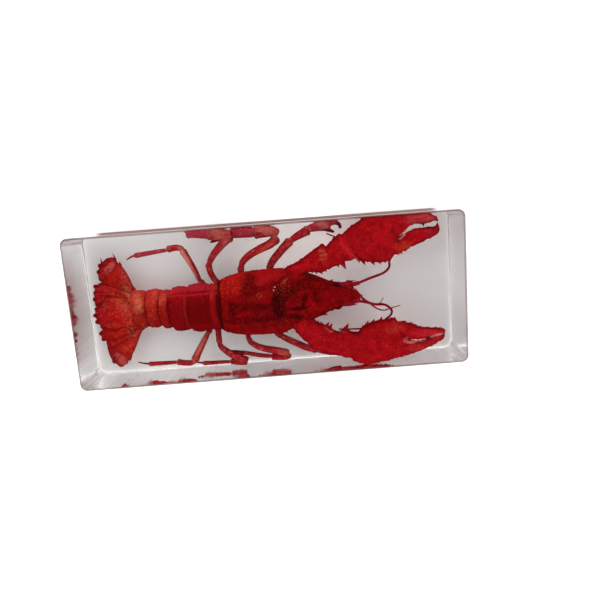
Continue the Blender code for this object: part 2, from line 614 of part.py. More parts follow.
RIGHT_CLAW_RECESS = [
    (3.0, -11.0), (10.0, -16.2), (15.0, -18.6), (22.0, -20.8), (26.0, -21.2), (33.0, -21.2), (40.0, -19.4),
    (46.0, -17.4), (50.2, -15.0), (50.4, -13.0), (45.0, -11.0), (37.6, -7.4), (32.0, -6.8), (26.0, -8.6),
    (18.0, -8.2), (10.6, -5.4), (3.0, -4.0),
]
RECESSES = {
    "body_recess": (BODY_RECESS, 4.2, 19.4),
    "fan_recess": (FAN_RECESS, 5.8, 14.0),
    "left_claw_recess": (LEFT_CLAW_RECESS, 8.4, 23.8),
    "right_claw_recess": (RIGHT_CLAW_RECESS, 8.1, 23.5),
}
# The leg recesses end just above the parting plane, and only the lower half has them
LEG_RECESS_TOP = PARTING_HEIGHT + 0.6


def prism(name, outline, lowest, highest):
    """A guide with straight walls over an outline."""
    bm = bmesh.new()
    base = bm.faces.new([bm.verts.new((x, y, lowest)) for x, y in outline])
    top = bmesh.ops.extrude_face_region(bm, geom=[base])["geom"]
    top_verts = [item for item in top if isinstance(item, bmesh.types.BMVert)]
    bmesh.ops.translate(bm, vec=(0.0, 0.0, highest - lowest), verts=top_verts)
    return make_guide(add_piece(name, bm, "clear_resin", smooth=False))


def sharpest_bend(route):
    """The number of the point at which a limb's route turns most, seen from above: its knee."""
    places = [Vector((x, y)) for x, y, z, radius in route]
    turns = [
        (places[step] - places[step - 1]).angle(places[step + 1] - places[step])
        for step in range(2, len(places) - 2)
    ]
    return 2 + turns.index(max(turns))


def ribbon(name, route, highest):
    """A guide with straight walls along a limb, as wide as the limb at each point and the clearance."""
    left_side = []
    right_side = []
    places = [Vector((x, y)) for x, y, z, radius in route]
    last = len(route) - 1
    for step, (place, (_, _, _, radius)) in enumerate(zip(places, route)):
        along = (places[min(step + 1, last)] - places[max(step - 1, 0)]).normalized()
        reach = radius + CLEARANCE
        side = Vector((-along.y, along.x)) * reach
        if step == 0:
            place = place - along * reach
        if step == last:
            place = place + along * reach
        left_side.append(place + side)
        right_side.append(place - side)
    outline = [tuple(point) for point in left_side + right_side[::-1]]
    lowest = min(z - radius for x, y, z, radius in route) - CLEARANCE
    return prism(name, outline, lowest, highest)


def rounded_rectangle(bm, length, width, radius, height):
    """One closed outline with round corners, as a face."""
    corners = []
    for turn, (sign_x, sign_y) in enumerate(((1, 1), (-1, 1), (-1, -1), (1, -1))):
        for step in range(4):
            angle = math.pi / 2 * (turn + step / 3)
            x = sign_x * (length / 2 - radius) + radius * math.cos(angle)
            y = sign_y * (width / 2 - radius) + radius * math.sin(angle)
            corners.append(bm.verts.new((x, y, height)))
    return bm.faces.new(corners)


def resin_half(name, bottom, top, eased_end):
    """One half of the block; the outline is drawn in at its outer face, where the edges are eased."""
    bm = bmesh.new()
    heights = [bottom, top]
    if eased_end == "bottom":
        heights.insert(1, bottom + EDGE_EASE)
        insets = [EDGE_EASE, 0.0, 0.0]
    else:
        heights.insert(1, top - EDGE_EASE)
        insets = [0.0, 0.0, EDGE_EASE]
    faces = []
    for height, inset in zip(heights, insets):
        length = BLOCK_LENGTH - 2 * inset
        width = BLOCK_WIDTH - 2 * inset
        faces.append(rounded_rectangle(bm, length, width, CORNER_RADIUS - inset, height))
    rings = [list(face.edges) for face in faces]
    bmesh.ops.delete(bm, geom=[faces[1]], context="FACES_ONLY")
    for near, far in zip(rings, rings[1:]):
        bmesh.ops.bridge_loops(bm, edges=near + far)
    return add_piece(name, bm, "clear_resin")


def build_resin():
    lower = resin_half("resin_lower_half", 0.0, PARTING_HEIGHT - PIECE_GAP / 2, "bottom")
    upper = resin_half("resin_upper_half", PARTING_HEIGHT + PIECE_GAP / 2, BLOCK_HEIGHT, "top")
    for name, (outline, lowest, highest) in RECESSES.items():
        recess = prism(name, outline, lowest, highest)
        cut_by(lower, recess)
        cut_by(upper, recess)
    for name, route in LEG_ROUTES.items():
        knee = sharpest_bend(route)
        cut_by(lower, ribbon(name + "_thigh_recess", route[: knee + 1], LEG_RECESS_TOP))
        cut_by(lower, ribbon(name + "_shin_recess", route[knee:], LEG_RECESS_TOP))
    for name, (x, y, z, tip_x, tip_y, tip_z) in PINCERS.items():
        finger = [(x, y, z, PINCER_ROOM), (tip_x, tip_y, tip_z, PINCER_ROOM)]
        cut_by(lower, ribbon(name + "_pincer_recess", finger, LEG_RECESS_TOP))
    for name, route in FEELER_ROUTES.items():
        bend = sharpest_bend(route)
        for side, stretch in (("first", route[: bend + 1]), ("last", route[bend:])):
            highest = max(z + radius for x, y, z, radius in stretch) + CLEARANCE
            recess = ribbon(f"{name}_{side}_recess", stretch, highest)
            cut_by(lower, recess)
            cut_by(upper, recess)


clear_scene()
build_carapace()
carapace_clearance = build_carapace_clearance()
build_abdomen()
build_tail_fan()
build_claws(carapace_clearance)
build_limbs(carapace_clearance)
build_eyes(carapace_clearance)
build_resin()
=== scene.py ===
import math
import random

import bmesh
import bpy
import numpy as np
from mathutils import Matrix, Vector
from mathutils.kdtree import KDTree


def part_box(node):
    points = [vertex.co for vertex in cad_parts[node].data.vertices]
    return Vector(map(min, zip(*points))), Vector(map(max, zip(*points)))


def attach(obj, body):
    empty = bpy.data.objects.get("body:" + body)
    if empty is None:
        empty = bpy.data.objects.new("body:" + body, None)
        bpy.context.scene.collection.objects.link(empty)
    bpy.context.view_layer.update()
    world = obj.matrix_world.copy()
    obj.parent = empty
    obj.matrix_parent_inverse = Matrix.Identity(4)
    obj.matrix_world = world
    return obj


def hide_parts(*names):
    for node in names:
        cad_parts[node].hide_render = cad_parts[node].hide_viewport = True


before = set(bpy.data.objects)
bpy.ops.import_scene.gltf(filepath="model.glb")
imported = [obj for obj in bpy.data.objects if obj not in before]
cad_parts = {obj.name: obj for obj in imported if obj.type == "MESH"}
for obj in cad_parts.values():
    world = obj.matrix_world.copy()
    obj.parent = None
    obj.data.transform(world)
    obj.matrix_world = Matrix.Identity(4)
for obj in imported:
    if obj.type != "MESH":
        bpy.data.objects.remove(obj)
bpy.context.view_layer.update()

# The camera looks down on the block as the photograph does: a little past the crayfish's left side, and turned
# a few degrees in the frame, with a lens of ordinary length from 16 cm above the block.
camera_data = bpy.data.cameras.new("camera")
camera_data.sensor_width = 36.0
camera_data.lens = 34.40
camera_data.clip_start = 0.005
camera = bpy.data.objects.new("camera", camera_data)
camera.location = (0.00735, 0.02807, 0.18281)
camera.rotation_mode = "ZXY"
camera.rotation_euler = (math.radians(-10.24), math.radians(-0.44), math.radians(-4.31))
bpy.context.scene.collection.objects.link(camera)
bpy.context.scene.camera = camera

# The resin block is one clear casting with polished faces. It is poured in a mould and its edges are broken
# after polishing, so its corners are round and its edges soft. It stands for both halves of the parted solid.
MM = 0.001
block_low, block_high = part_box("resin_lower_half")[0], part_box("resin_upper_half")[1]
CORNER_RADIUS = 2.0 * MM
EDGE_EASE = 0.35 * MM
FOOT_EASE = 0.06 * MM
# The mould's draft: towards its foot the back wall leans in by this much
WALL_LEAN = 0.6 * MM
FLAT_FACE_AREA = 1e-4
# How far the feet of the front and end walls are ground and darkened by the painted edge shade, as a share of
# the other soft edges
FOOT_GRIND = 0.35
RESIN_TINT = (0.84, 0.82, 0.785, 1.0)
RESIN_DEPTH = 7.0
# Painted shade: a dark brown tint on the ground edges, which draws the block's edges as dark lines
EDGE_SHADE_TINT = (0.16, 0.10, 0.09, 1.0)
# The polishing marks on two of the walls: how rough the wall is at its best and worst, and how deep they are
MARK_ROUGHNESS = (0.03, 0.23)
MARK_DEPTH = 0.5


def select_edges(thing, wanted):
    """In edit mode, selects the edges that the test wants, and nothing else."""
    bpy.ops.mesh.select_mode(type="EDGE")
    bpy.ops.mesh.select_all(action="DESELECT")
    cage = bmesh.from_edit_mesh(thing.data)
    for edge in cage.edges:
        edge.select_set(wanted(edge.verts[0].co, edge.verts[1].co))
    bmesh.update_edit_mesh(thing.data)


def mark_points(piece, name, values):
    """Writes a number to each point of a piece, for its finish to read."""
    marks = piece.data.attributes.new(name, "FLOAT", "POINT")
    marks.data.foreach_set("value", values)


def paint(red, green, blue):
    """A colour as read off a picture, from 0 to 255, as the shader takes it."""
    return tuple((part / 255) ** 2.2 for part in (red, green, blue)) + (1.0,)


class Socket:
    """A shader socket that takes arithmetic: each operator adds its Math node."""

    def __init__(self, graph, socket):
        self.graph = graph
        self.socket = socket

    def calc(self, operation, *others):
        return self.graph.node("ShaderNodeMath", {"operation": operation}, dict(enumerate((self, *others))))

    def __add__(self, other):
        return self.calc("ADD", other)

    def __sub__(self, other):
        return self.calc("SUBTRACT", other)

    def __mul__(self, other):
        return self.calc("MULTIPLY", other)

    __radd__ = __add__
    __rmul__ = __mul__

    def __rsub__(self, other):
        return self * -1.0 + other


class Graph:
    """A tree of shader nodes."""

    def __init__(self, tree):
        self.tree = tree

    def node(self, kind, settings, inputs, output=0):
        """Adds a node, gives it its settings and then its inputs, and returns one of its outputs."""
        new = self.tree.nodes.new(kind)
        for name, value in settings.items():
            setattr(new, name, value)
        for name, value in inputs.items():
            if isinstance(value, Socket):
                self.tree.links.new(value.socket, new.inputs[name])
            else:
                new.inputs[name].default_value = value
        return Socket(self, new.outputs[output])

    def at_point(self, kind, axis):
        """One axis of a texture coordinate of this kind, at the point being shaded."""
        return self.node("ShaderNodeSeparateXYZ", {}, {0: self.node("ShaderNodeTexCoord", {}, {}, kind)}, axis)

    def step(self, value, low, high, bottom=0.0, top=1.0):
        """A smooth rise from bottom, below low, to top, above high; low above high turns it round."""
        inputs = {"Value": value, "From Min": low, "From Max": high, "To Min": bottom, "To Max": top}
        return self.node("ShaderNodeMapRange", {"interpolation_type": "SMOOTHSTEP"}, inputs)


class Finish(Graph):
    """A material in the making: one Principled shader, and the nodes that paint and roughen its surface."""

    def __init__(self, name, roughness, **fixed):
        self.material = bpy.data.materials.new(name)
        self.material.use_nodes = True
        super().__init__(self.material.node_tree)
        self.tree.nodes.clear()
        self.colour = (1.0, 1.0, 1.0, 1.0)
        self.shader = self.tree.nodes.new("ShaderNodeBsdfPrincipled")
        self.output = self.tree.nodes.new("ShaderNodeOutputMaterial")
        self.tree.links.new(self.shader.outputs["BSDF"], self.output.inputs["Surface"])
        self.shader.inputs["Roughness"].default_value = roughness
        for key, value in fixed.items():
            self.shader.inputs[key.replace("_", " ")].default_value = value

    def feed(self, name, value):
        self.tree.links.new(value.socket, self.shader.inputs[name])

    def place(self):
        """The point being shaded, in millimetres from the block's own origin."""
        metres = self.node("ShaderNodeTexCoord", {}, {}, "Object")
        return self.node("ShaderNodeVectorMath", {"operation": "SCALE"}, {"Vector": metres, "Scale": 1 / MM})

    def axis(self, name):
        """How far the point being shaded lies along X, Y or Z, in millimetres."""
        return self.node("ShaderNodeSeparateXYZ", {}, {0: self.place()}, name)

    def mark(self, name):
        """The number of this name that the mesh carries at each point."""
        return self.node("ShaderNodeAttribute", {"attribute_name": name}, {}, "Fac")

    def vector(self, operation, *inputs, output=0):
        """Adds a node for arithmetic with vectors, and returns one of its outputs."""
        return self.node("ShaderNodeVectorMath", {"operation": operation}, dict(enumerate(inputs)), output)

    def noise(self, size, detail=4.0, stretch=(1.0, 1.0, 1.0)):
        """Cloudy noise with lumps of about this size in millimetres."""
        across = self.vector("MULTIPLY", self.place(), stretch)
        return self.node("ShaderNodeTexNoise", {}, {"Vector": across, "Scale": 1 / size, "Detail": detail})

    def cells(self, size):
        """The distance to the nearest of many scattered points, in shares of their spacing."""
        return self.node("ShaderNodeTexVoronoi", {}, {"Vector": self.place(), "Scale": 1 / size})

    def patches(self, size, low, high, *grain):
        """A mask of cloudy patches: where the noise of this size rises from low to high."""
        return self.step(self.noise(size, *grain), low, high)

    def dots(self, size, low, high):
        """A mask of dots where low is above high, or else of the net of gaps between them."""
        return self.step(self.cells(size), low, high)

    def spot(self, x, y, reach, edge, ragged=0.0):
        """A round mask about a point seen from above, with an edge of this width."""
        flat = self.vector("MULTIPLY", self.place(), (1.0, 1.0, 0.0))
        away = self.vector("DISTANCE", flat, (x, y, 0.0), output="Value")
        return self.step(away + ragged, reach + edge, reach - edge)

    def blot(self, x, y, wide, tall, turn, edge=0.4, ragged=0.0):
        """An oval mask seen from above: its place, its half sizes in millimetres and its turn in degrees."""
        turned = (0.0, 0.0, math.radians(turn))
        oval = {"Vector": self.place(), "Location": (x, y, 0.0), "Rotation": turned, "Scale": (wide, tall, 1e5)}
        inside = self.node("ShaderNodeMapping", {"vector_type": "TEXTURE"}, oval)
        away = self.vector("LENGTH", inside, output="Value")
        return self.step(away + ragged, 1 + edge, 1 - edge)

    def mix(self, mask, first, second):
        """A colour or a link to one, turned into the second colour where the mask says."""
        return self.node("ShaderNodeMix", {"data_type": "RGBA"}, {0: mask, 6: first, 7: second}, 2)

    def cloud(self, size, low, high, first, second):
        """Starts the paint off with two shades in clouds of this size."""
        self.colour = self.mix(self.patches(size, low, high), paint(*first), paint(*second))

    def lay(self, mask, *shade):
        """Lays a shade over the paint so far, where the mask says."""
        self.colour = self.mix(mask, self.colour, paint(*shade))

    def lay_blots(self, blots, ragged, edge=0.4):
        """Lays ovals over the paint: each has its place, half sizes, turn, strength and shade."""
        for x, y, wide, tall, turn, strength, *shade in blots:
            self.lay(self.blot(x, y, wide, tall, turn, edge, ragged) * strength, *shade)

    def bump(self, height, distance):
        relief = self.node("ShaderNodeBump", {}, {"Height": height, "Distance": distance * MM, "Strength": 1.0})
        self.feed("Normal", relief)

    def complete(self, roughness, relief, depth):
        """Feeds the paint, the roughness and the relief, which is this many millimetres deep."""
        self.feed("Base Color", self.colour)
        self.feed("Roughness", roughness)
        self.bump(relief, depth)

    def on(self, piece):
        piece.data.materials.clear()
        piece.data.materials.append(self.material)


def add_to_object(piece, slot, *nodes):
    """Makes a finished piece part of the object, in place of the CAD nodes it stands for."""
    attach(piece, "root")
    if nodes:
        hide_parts(*nodes)


def ground_at(point):
    """How far a point of the block is ground and tinted with painted edge shade: soft edges are, and the flat
    faces are polished.
    """
    if not 0.05 < abs(point.normal.z) < 0.999:
        return 0.0
    return 1.0 if point.co.z > CORNER_RADIUS or point.co.y > 0 else FOOT_GRIND


bpy.ops.object.select_all(action="DESELECT")
bpy.ops.mesh.primitive_cube_add(size=1.0, location=(0, 0, 0))
block = bpy.context.active_object
block.name = "resin_block"
block.scale = block_high - block_low
block.location = (block_high + block_low) / 2
bpy.ops.object.transform_apply(location=True, rotation=True, scale=True)
bpy.ops.object.mode_set(mode="EDIT")
select_edges(block, lambda a, b: max(a.z, b.z) < block_low.z + EDGE_EASE and min(a.y, b.y) > 0)
bpy.ops.transform.translate(value=(0, -WALL_LEAN, 0))
select_edges(block, lambda a, b: abs(a.z - b.z) > EDGE_EASE)
bpy.ops.mesh.bevel(offset=CORNER_RADIUS, offset_type="OFFSET", segments=10)
select_edges(block, lambda a, b: min(a.z, b.z) > block_high.z - EDGE_EASE)
bpy.ops.mesh.bevel(offset=EDGE_EASE, offset_type="OFFSET", segments=4)
select_edges(block, lambda a, b: max(a.z, b.z) < block_low.z + FOOT_EASE)
bpy.ops.mesh.bevel(offset=FOOT_EASE, offset_type="OFFSET", segments=2)
# Each flat face gets a narrow border, so that the soft edges leave the face itself optically flat
bpy.ops.mesh.select_mode(type="FACE")
bpy.ops.mesh.select_all(action="DESELECT")
cage = bmesh.from_edit_mesh(block.data)
for face in cage.faces:
    face.select_set(face.calc_area() > FLAT_FACE_AREA)
bmesh.update_edit_mesh(block.data)
bpy.ops.mesh.inset(thickness=EDGE_EASE, use_individual=True)
bpy.ops.object.mode_set(mode="OBJECT")
bpy.ops.object.shade_smooth_by_angle(angle=math.radians(30))
mark_points(block, "ground", [ground_at(vertex) for vertex in block.data.vertices])
clear = Finish("clear_resin", 0.0, IOR=1.5, Transmission_Weight=1.0)
# Ground edges look a little rough and grey-brown, a tint that is painted shade, and the front wall and the
# tail's wall still show their polishing marks, up and down
ground = clear.mark("ground")
wall = clear.step(clear.axis("Y"), block_low.y / MM + 0.3, block_low.y / MM + 0.1)
wall = wall.calc("MAXIMUM", clear.step(clear.axis("X"), block_low.x / MM + 0.3, block_low.x / MM + 0.1))
marks = clear.noise(5.0, 3.0, (1.0, 1.0, 0.06))
clear.feed("Base Color", clear.mix(ground, (1.0, 1.0, 1.0, 1.0), EDGE_SHADE_TINT))
clear.feed("Roughness", ground * 0.3 + clear.step(marks, 0.35, 0.7, *MARK_ROUGHNESS) * wall)
clear.bump(marks * wall, MARK_DEPTH)
depth = clear.node("ShaderNodeVolumeAbsorption", {}, {"Color": RESIN_TINT, "Density": RESIN_DEPTH})
clear.tree.links.new(depth.socket, clear.output.inputs["Volume"])
clear.on(block)
add_to_object(block, "clear_resin", "resin_lower_half", "resin_upper_half")

# A few grains of dust fell into the resin while it was poured, and hang in it. They are dark and flattened.
# Each has its place and its size, in millimetres.
DUST = [
    (-42.6, -20.4, 20.0, 0.16), (-42.4, -20.9, 6.0, 0.2), (44.9, -5.0, 14.0, 0.14), (30.0, 4.6, 22.0, 0.09),
    (-30.5, 11.0, 20.0, 0.09), (38.0, 3.0, 12.0, 0.08), (-25.0, -13.0, 19.0, 0.08), (46.5, 8.0, 9.0, 0.1),
]
DUST_COLOURS = (0.02, 0.015, 0.012, 1.0), (0.10, 0.07, 0.05, 1.0)


def at(x, y, z):
    """A place given in millimetres."""
    return Vector((x, y, z)) * MM


def only(thing):
    """Selects one object and nothing else, and makes it the active one."""
    for other in bpy.context.selected_objects:
        other.select_set(False)
    thing.select_set(True)
    bpy.context.view_layer.objects.active = thing


def join(piece, parts):
    """Joins parts into a piece, which keeps its name."""
    only(piece)
    for part in parts:
        part.select_set(True)
    bpy.ops.object.join()
    return piece


grains = []
for x, y, z, size in DUST:
    bpy.ops.mesh.primitive_ico_sphere_add(subdivisions=2, radius=size * MM, location=at(x, y, z))
    grain = bpy.context.active_object
    grain.scale = (1.0, 0.7, 0.5)
    bpy.ops.object.transform_apply(location=True, rotation=True, scale=True)
    grains.append(grain)
dust = join(grains[0], grains[1:])
dust.name = "trapped_dust"
speck = Finish("dust", 0.9)
speck.feed("Base Color", speck.mix(speck.noise(0.1), *DUST_COLOURS))
speck.on(dust)
add_to_object(dust, "clear_resin")

# The carapace is one stiff shell over head and thorax, drawn out into the rostrum. A curved groove parts the
# neck from the back, and granules cover it. It grew as one piece, red where it was boiled or dyed.
SHELL_VOXEL = 0.17 * MM
MERGE_REACH = 0.004 * MM
QUAD_ANGLE = math.radians(60)
# The middle line of the body lies this far along Y
BODY_MIDDLE = -1.8
# Lines on the back as seen from above, in millimetres: depth (below 0 for a ridge), width, and the line. They
# are the neck groove, two lines that close in on the middle of the back, the furrow along the rear rim, the
# ridges along the rostrum, those behind the eyes, and the hollow of the head.
SHELL_LINES = [
    (0.75, 0.55, [(6.0, 7.0), (3.6, 4.8), (1.9, 1.6), (1.3, -1.1), (2.0, -3.6), (3.3, -6.0), (4.8, -7.9),
                  (7.6, -9.4)]),
    (0.28, 0.35, [(1.2, -0.6), (-3.0, -1.0), (-8.0, -1.0), (-12.8, -0.3)]),
    (0.28, 0.35, [(1.2, -2.4), (-3.0, -2.9), (-8.0, -3.0), (-12.8, -3.8)]),
    (0.45, 0.35, [(-12.2, 6.6), (-13.2, 3.0), (-13.6, -1.8), (-13.4, -6.0), (-12.4, -10.0)]),
    (-0.45, 0.35, [(12.0, 1.9), (17.0, 1.6), (21.5, 0.7), (25.6, -0.9)]),
    (-0.45, 0.35, [(12.0, -5.0), (17.0, -4.6), (21.5, -2.9), (25.6, -1.5)]),
    (-0.4, 0.4, [(8.5, 3.4), (12.0, 3.5), (15.2, 3.0)]),
    (-0.4, 0.4, [(8.5, -6.6), (12.0, -6.6), (15.2, -5.9)]),
    (0.55, 1.3, [(10.0, -1.6), (22.5, -1.2)]),
]
# Spines on the rostrum, behind the eyes and on the cheeks: foot, tip and the radius at the foot
SHELL_SPINES = [
    ((22.6, 0.1, 16.0), (24.5, 1.4, 16.8), 0.45), ((22.6, -2.4, 16.0), (24.5, -3.6, 16.8), 0.45),
    ((24.0, -1.2, 16.2), (27.2, -1.2, 17.1), 0.6), ((15.0, 2.7, 15.6), (16.7, 3.5, 16.6), 0.45),
    ((15.0, -5.7, 15.6), (16.7, -6.4, 16.6), 0.45), ((3.4, 6.6, 12.4), (5.2, 8.1, 13.0), 0.5),
    ((3.0, -10.0, 12.4), (4.6, -11.5, 13.0), 0.5), ((17.0, 2.6, 12.8), (19.0, 3.8, 13.2), 0.5),
]
# The shell's fields of colour seen from above: place, half sizes, turn, strength and shade
CARAPACE_BLOTS = [
    (-11.2, 4.1, 5.7, 2.6, 12, 0.8, 182, 30, 24), (-5.5, 3.6, 4.2, 2.5, 80, 0.9, 96, 11, 16),
    (-1.8, 4.8, 2.2, 1.0, 10, 0.7, 172, 32, 32), (-3.1, 0.7, 3.8, 1.0, 17, 0.6, 138, 26, 19),
    (6.8, 1.9, 3.9, 1.9, 26, 0.9, 80, 13, 14), (10.0, 3.7, 2.8, 1.1, 11, 0.8, 98, 12, 13),
    (2.8, -2.0, 4.5, 1.9, -88, 0.95, 66, 11, 10), (1.1, -2.7, 2.4, 1.2, -74, 0.8, 70, 10, 10),
    (7.6, -0.9, 2.2, 1.2, 12, 0.8, 108, 13, 15), (12.5, -3.0, 3.4, 1.6, -23, 0.75, 152, 14, 21),
    (9.9, -1.2, 2.4, 0.7, 71, 0.95, 62, 5, 7), (8.1, -3.6, 2.8, 0.7, 4, 0.95, 60, 4, 5),
    (7.1, -6.0, 2.3, 0.8, -10, 0.9, 72, 9, 9), (13.4, -0.9, 2.3, 1.2, -71, 0.85, 76, 6, 9),
    (14.3, 1.6, 3.8, 0.6, -7, 0.7, 98, 6, 10), (19.0, -0.8, 5.2, 1.7, 3, 0.6, 136, 13, 16),
    (18.3, -3.5, 4.0, 0.6, 16, 0.6, 112, 13, 19), (-5.5, -2.0, 6.8, 0.95, -5, 0.9, 88, 9, 10),
    (-11.2, -2.8, 2.7, 0.8, 87, 0.85, 78, 8, 10), (-7.7, -6.0, 6.0, 1.0, 1, 0.85, 90, 7, 12),
    (0.2, -5.7, 4.4, 0.9, 2, 0.85, 80, 8, 12), (-7.4, -3.8, 2.8, 0.7, 22, 0.7, 144, 15, 19),
    (-2.6, -3.9, 2.2, 0.5, 5, 0.5, 114, 15, 18), (-7.7, -8.7, 5.8, 1.1, 1, 0.7, 116, 12, 17),
    (0.6, -7.9, 4.4, 0.9, 3, 0.6, 114, 15, 20), (3.8, -6.8, 1.7, 0.3, -42, 0.7, 150, 36, 44),
    (2.4, -5.2, 2.0, 0.3, -47, 0.8, 46, 5, 6), (-13.1, -1.6, 4.0, 0.7, 84, 0.7, 144, 16, 16),
    (5.5, 5.4, 2.0, 0.9, 26, 0.6, 98, 19, 17), (4.4, 4.4, 1.3, 0.3, 38, 0.45, 176, 84, 66),
]


def new_piece(name, data):
    """A new object that shows this mesh or curve, selected alone."""
    piece = bpy.data.objects.new(name, data)
    bpy.context.scene.collection.objects.link(piece)
    only(piece)
    return piece


def edited(piece, *steps):
    """Runs mesh operators on all of a piece, each given together with its settings."""
    only(piece)
    bpy.ops.object.mode_set(mode="EDIT")
    for operator, settings in steps:
        bpy.ops.mesh.select_all(action="SELECT")
        operator(**settings)
    bpy.ops.object.mode_set(mode="OBJECT")
    return piece


def merged_copy(node, name):
    """A CAD node's own form as a new piece: its loose triangles merged and turned back into quads."""
    piece = new_piece(name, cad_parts[node].data.copy())
    bpy.ops.mesh.customdata_custom_splitnormals_clear()
    merge = (bpy.ops.mesh.remove_doubles, {"threshold": MERGE_REACH})
    limits = {"face_threshold": QUAD_ANGLE, "shape_threshold": QUAD_ANGLE}
    return edited(piece, merge, (bpy.ops.mesh.tris_convert_to_quads, limits))


def finish_with(piece, kind, **settings):
    """Adds a modifier with its settings and applies it."""
    only(piece)
    modifier = piece.modifiers.new(kind.lower(), kind)
    for name, value in settings.items():
        setattr(modifier, name, value)
    bpy.ops.object.modifier_apply(modifier=modifier.name)


def rounded(piece, levels):
    finish_with(piece, "SUBSURF", levels=levels, render_levels=levels)


def melted(piece, voxel):
    """Turns all the forms of a piece into one closed skin."""
    finish_with(piece, "REMESH", mode="VOXEL", voxel_size=voxel, use_smooth_shade=True)


def fused(piece, voxel, smoothing=2):
    """Melts the joined parts of a piece into one skin, and softens where they meet."""
    melted(piece, voxel)
    finish_with(piece, "SMOOTH", factor=0.5, iterations=smoothing)


def skin(piece):
    """The places and the outward directions of a piece's points."""
    mesh = piece.data
    places, normals = np.empty((2, len(mesh.vertices) * 3), np.float32)
    mesh.vertices.foreach_get("co", places)
    mesh.vertex_normals.foreach_get("vector", normals)
    return places.reshape(-1, 3), normals.reshape(-1, 3)


def move_skin(piece, places):
    piece.data.vertices.foreach_set("co", places.astype(np.float32).ravel())
    piece.data.update()


def distance_to(line, places):
    """How far each place is from a line that is drawn on the piece as seen from above."""
    nearest = np.full(len(places), np.inf)
    for start, end in zip(line, line[1:]):
        start = np.array(start) * MM
        along = np.array(end) * MM - start
        share = np.clip((places[:, :2] - start) @ along / (along @ along), 0, 1)
        away = np.linalg.norm(places[:, :2] - start - share[:, None] * along, axis=1)
        nearest = np.minimum(nearest, away)
    return nearest


def score(piece, line, depth, width, facing=1.0, wrap=0.0):
    """Presses a furrow into the upper skin along a line, or raises a ridge where the depth is below 0.

    Facing -1 works on the underside, and a wrap of 1 carries the furrow down the flanks.
    """
    places, normals = skin(piece)
    press = np.exp(-((distance_to(line, places) / (width * MM)) ** 2))
    press *= np.clip(normals[:, 2] * facing * 3 + wrap, 0, 1)
    move_skin(piece, places - normals * (depth * MM * press)[:, None])


def nearest_finder(places):
    """A search tree of the places, by their number."""
    tree = KDTree(len(places))
    for number, place in enumerate(places):
        tree.insert(place, number)
    tree.balance()
    return tree


def granulate(piece, count, reach, rise, seed, wanted=None):
    """Raises small round granules at seeded places of the skin, where the test wants them."""
    chance = random.Random(seed)
    places, normals = skin(piece)
    tree = nearest_finder(places)
    lift = np.zeros(len(places))
    for _ in range(count):
        centre = chance.randrange(len(places))
        size = chance.uniform(0.6, 1.3)
        if wanted and not wanted(places[centre] / MM, normals[centre]):
            continue
        for _, number, away in tree.find_range(places[centre], reach * size * MM):
            swell = 1 - (away / (reach * size * MM)) ** 2
            lift[number] = max(lift[number], rise * size * MM * swell * swell)
    move_skin(piece, places + normals * lift[:, None])


def cone(foot, tip, width):
    """A spine: a cone from its foot to its tip, both in millimetres, with this radius at the foot."""
    foot, tip = at(*foot), at(*tip)
    turn = (tip - foot).to_track_quat("Z", "Y").to_euler()
    bpy.ops.mesh.primitive_cone_add(
        vertices=12, radius1=width * MM, radius2=0.1 * width * MM, depth=(tip - foot).length,
        location=(foot + tip) / 2, rotation=turn,
    )
    return bpy.context.active_object


def add_painted(piece, finish, slot, *nodes):
    """Gives a finished piece its finish and makes it part of the object."""
    finish.on(piece)
    add_to_object(piece, slot, *nodes)


carapace = merged_copy("carapace", "carapace_shell")
rounded(carapace, 2)
join(carapace, [cone(*spine) for spine in SHELL_SPINES])
fused(carapace, SHELL_VOXEL)
for depth, width, line in SHELL_LINES:
    score(carapace, line, depth, width)
granulate(carapace, 4200, 0.36, 0.17, 11,
          lambda place, normal: place[0] < 9 and abs(place[1] - BODY_MIDDLE) > 1.4)
granulate(carapace, 1100, 0.28, 0.12, 12, lambda place, normal: place[0] > 6)

shell = Finish("carapace_finish", 0.5, Specular_IOR_Level=0.0)
along, across = shell.axis("X"), shell.axis("Y")
ragged = shell.noise(1.5) * 1.5 - 0.75
fine = shell.noise(0.5)
shell.cloud(1.8, 0.35, 0.65, (140, 15, 19), (118, 11, 15))
shell.lay(shell.step(across + ragged, 4.4, 6.0) * 0.8, 174, 26, 31)
shell.lay(shell.step(across + ragged, -8.2, -9.6) * 0.6, 138, 15, 21)
lower = shell.step(across + ragged * 0.4, -1.0, -1.8) * shell.step(across + ragged * 0.4, -7.6, -6.8)
shell.lay(lower * shell.step(along + ragged, 5.0, 3.0) * shell.step(along, -12.6, -11.6) * 0.8, 108, 11, 15)
shell.lay_blots(CARAPACE_BLOTS, ragged)
# Clouds, granules, the orange ones among them, and the pits between
shell.lay(shell.patches(0.8, 0.52, 0.7, 3.0) * 0.45, 62, 6, 9)
shell.lay(shell.patches(0.8, 0.46, 0.3, 3.0) * 0.35, 176, 26, 30)
shell.lay(shell.dots(0.62, 0.34, 0.12) * 0.22, 206, 50, 44)
orange = shell.blot(-10.6, 4.2, 6.0, 2.8, 12, 0.4, ragged) * 0.45
orange = orange + shell.blot(3.4, 2.4, 2.4, 1.8, 20, 0.4, ragged) * 0.7
shell.lay(shell.dots(0.5, 0.34, 0.12) * orange, 224, 96, 52)
shell.lay(shell.dots(0.5, 0.56, 0.78) * 0.35, 60, 4, 8)
# A pale ring mark, two white grains and the dark rear rim, which is partly the dark membrane under the shell's
# edge and partly painted shade in the gap before the tail
ring = shell.spot(-2.9, 1.1, 1.1, 0.25, fine * 0.8) * (1.0 - shell.spot(-2.9, 1.1, 0.65, 0.25))
shell.lay(ring * 0.7, 196, 96, 50)
for x, y in ((1.7, 3.1), (1.3, 2.2)):
    shell.lay(shell.spot(x, y, 0.14, 0.12), 244, 206, 184)
shell.lay(shell.step(along + ragged * 0.5, -13.6, -14.4) * 0.85, 60, 6, 9)
shell.complete(fine * 0.25 + 0.42, fine - shell.cells(0.45) * 0.8, 0.09)
add_painted(carapace, shell, "carapace", "carapace")

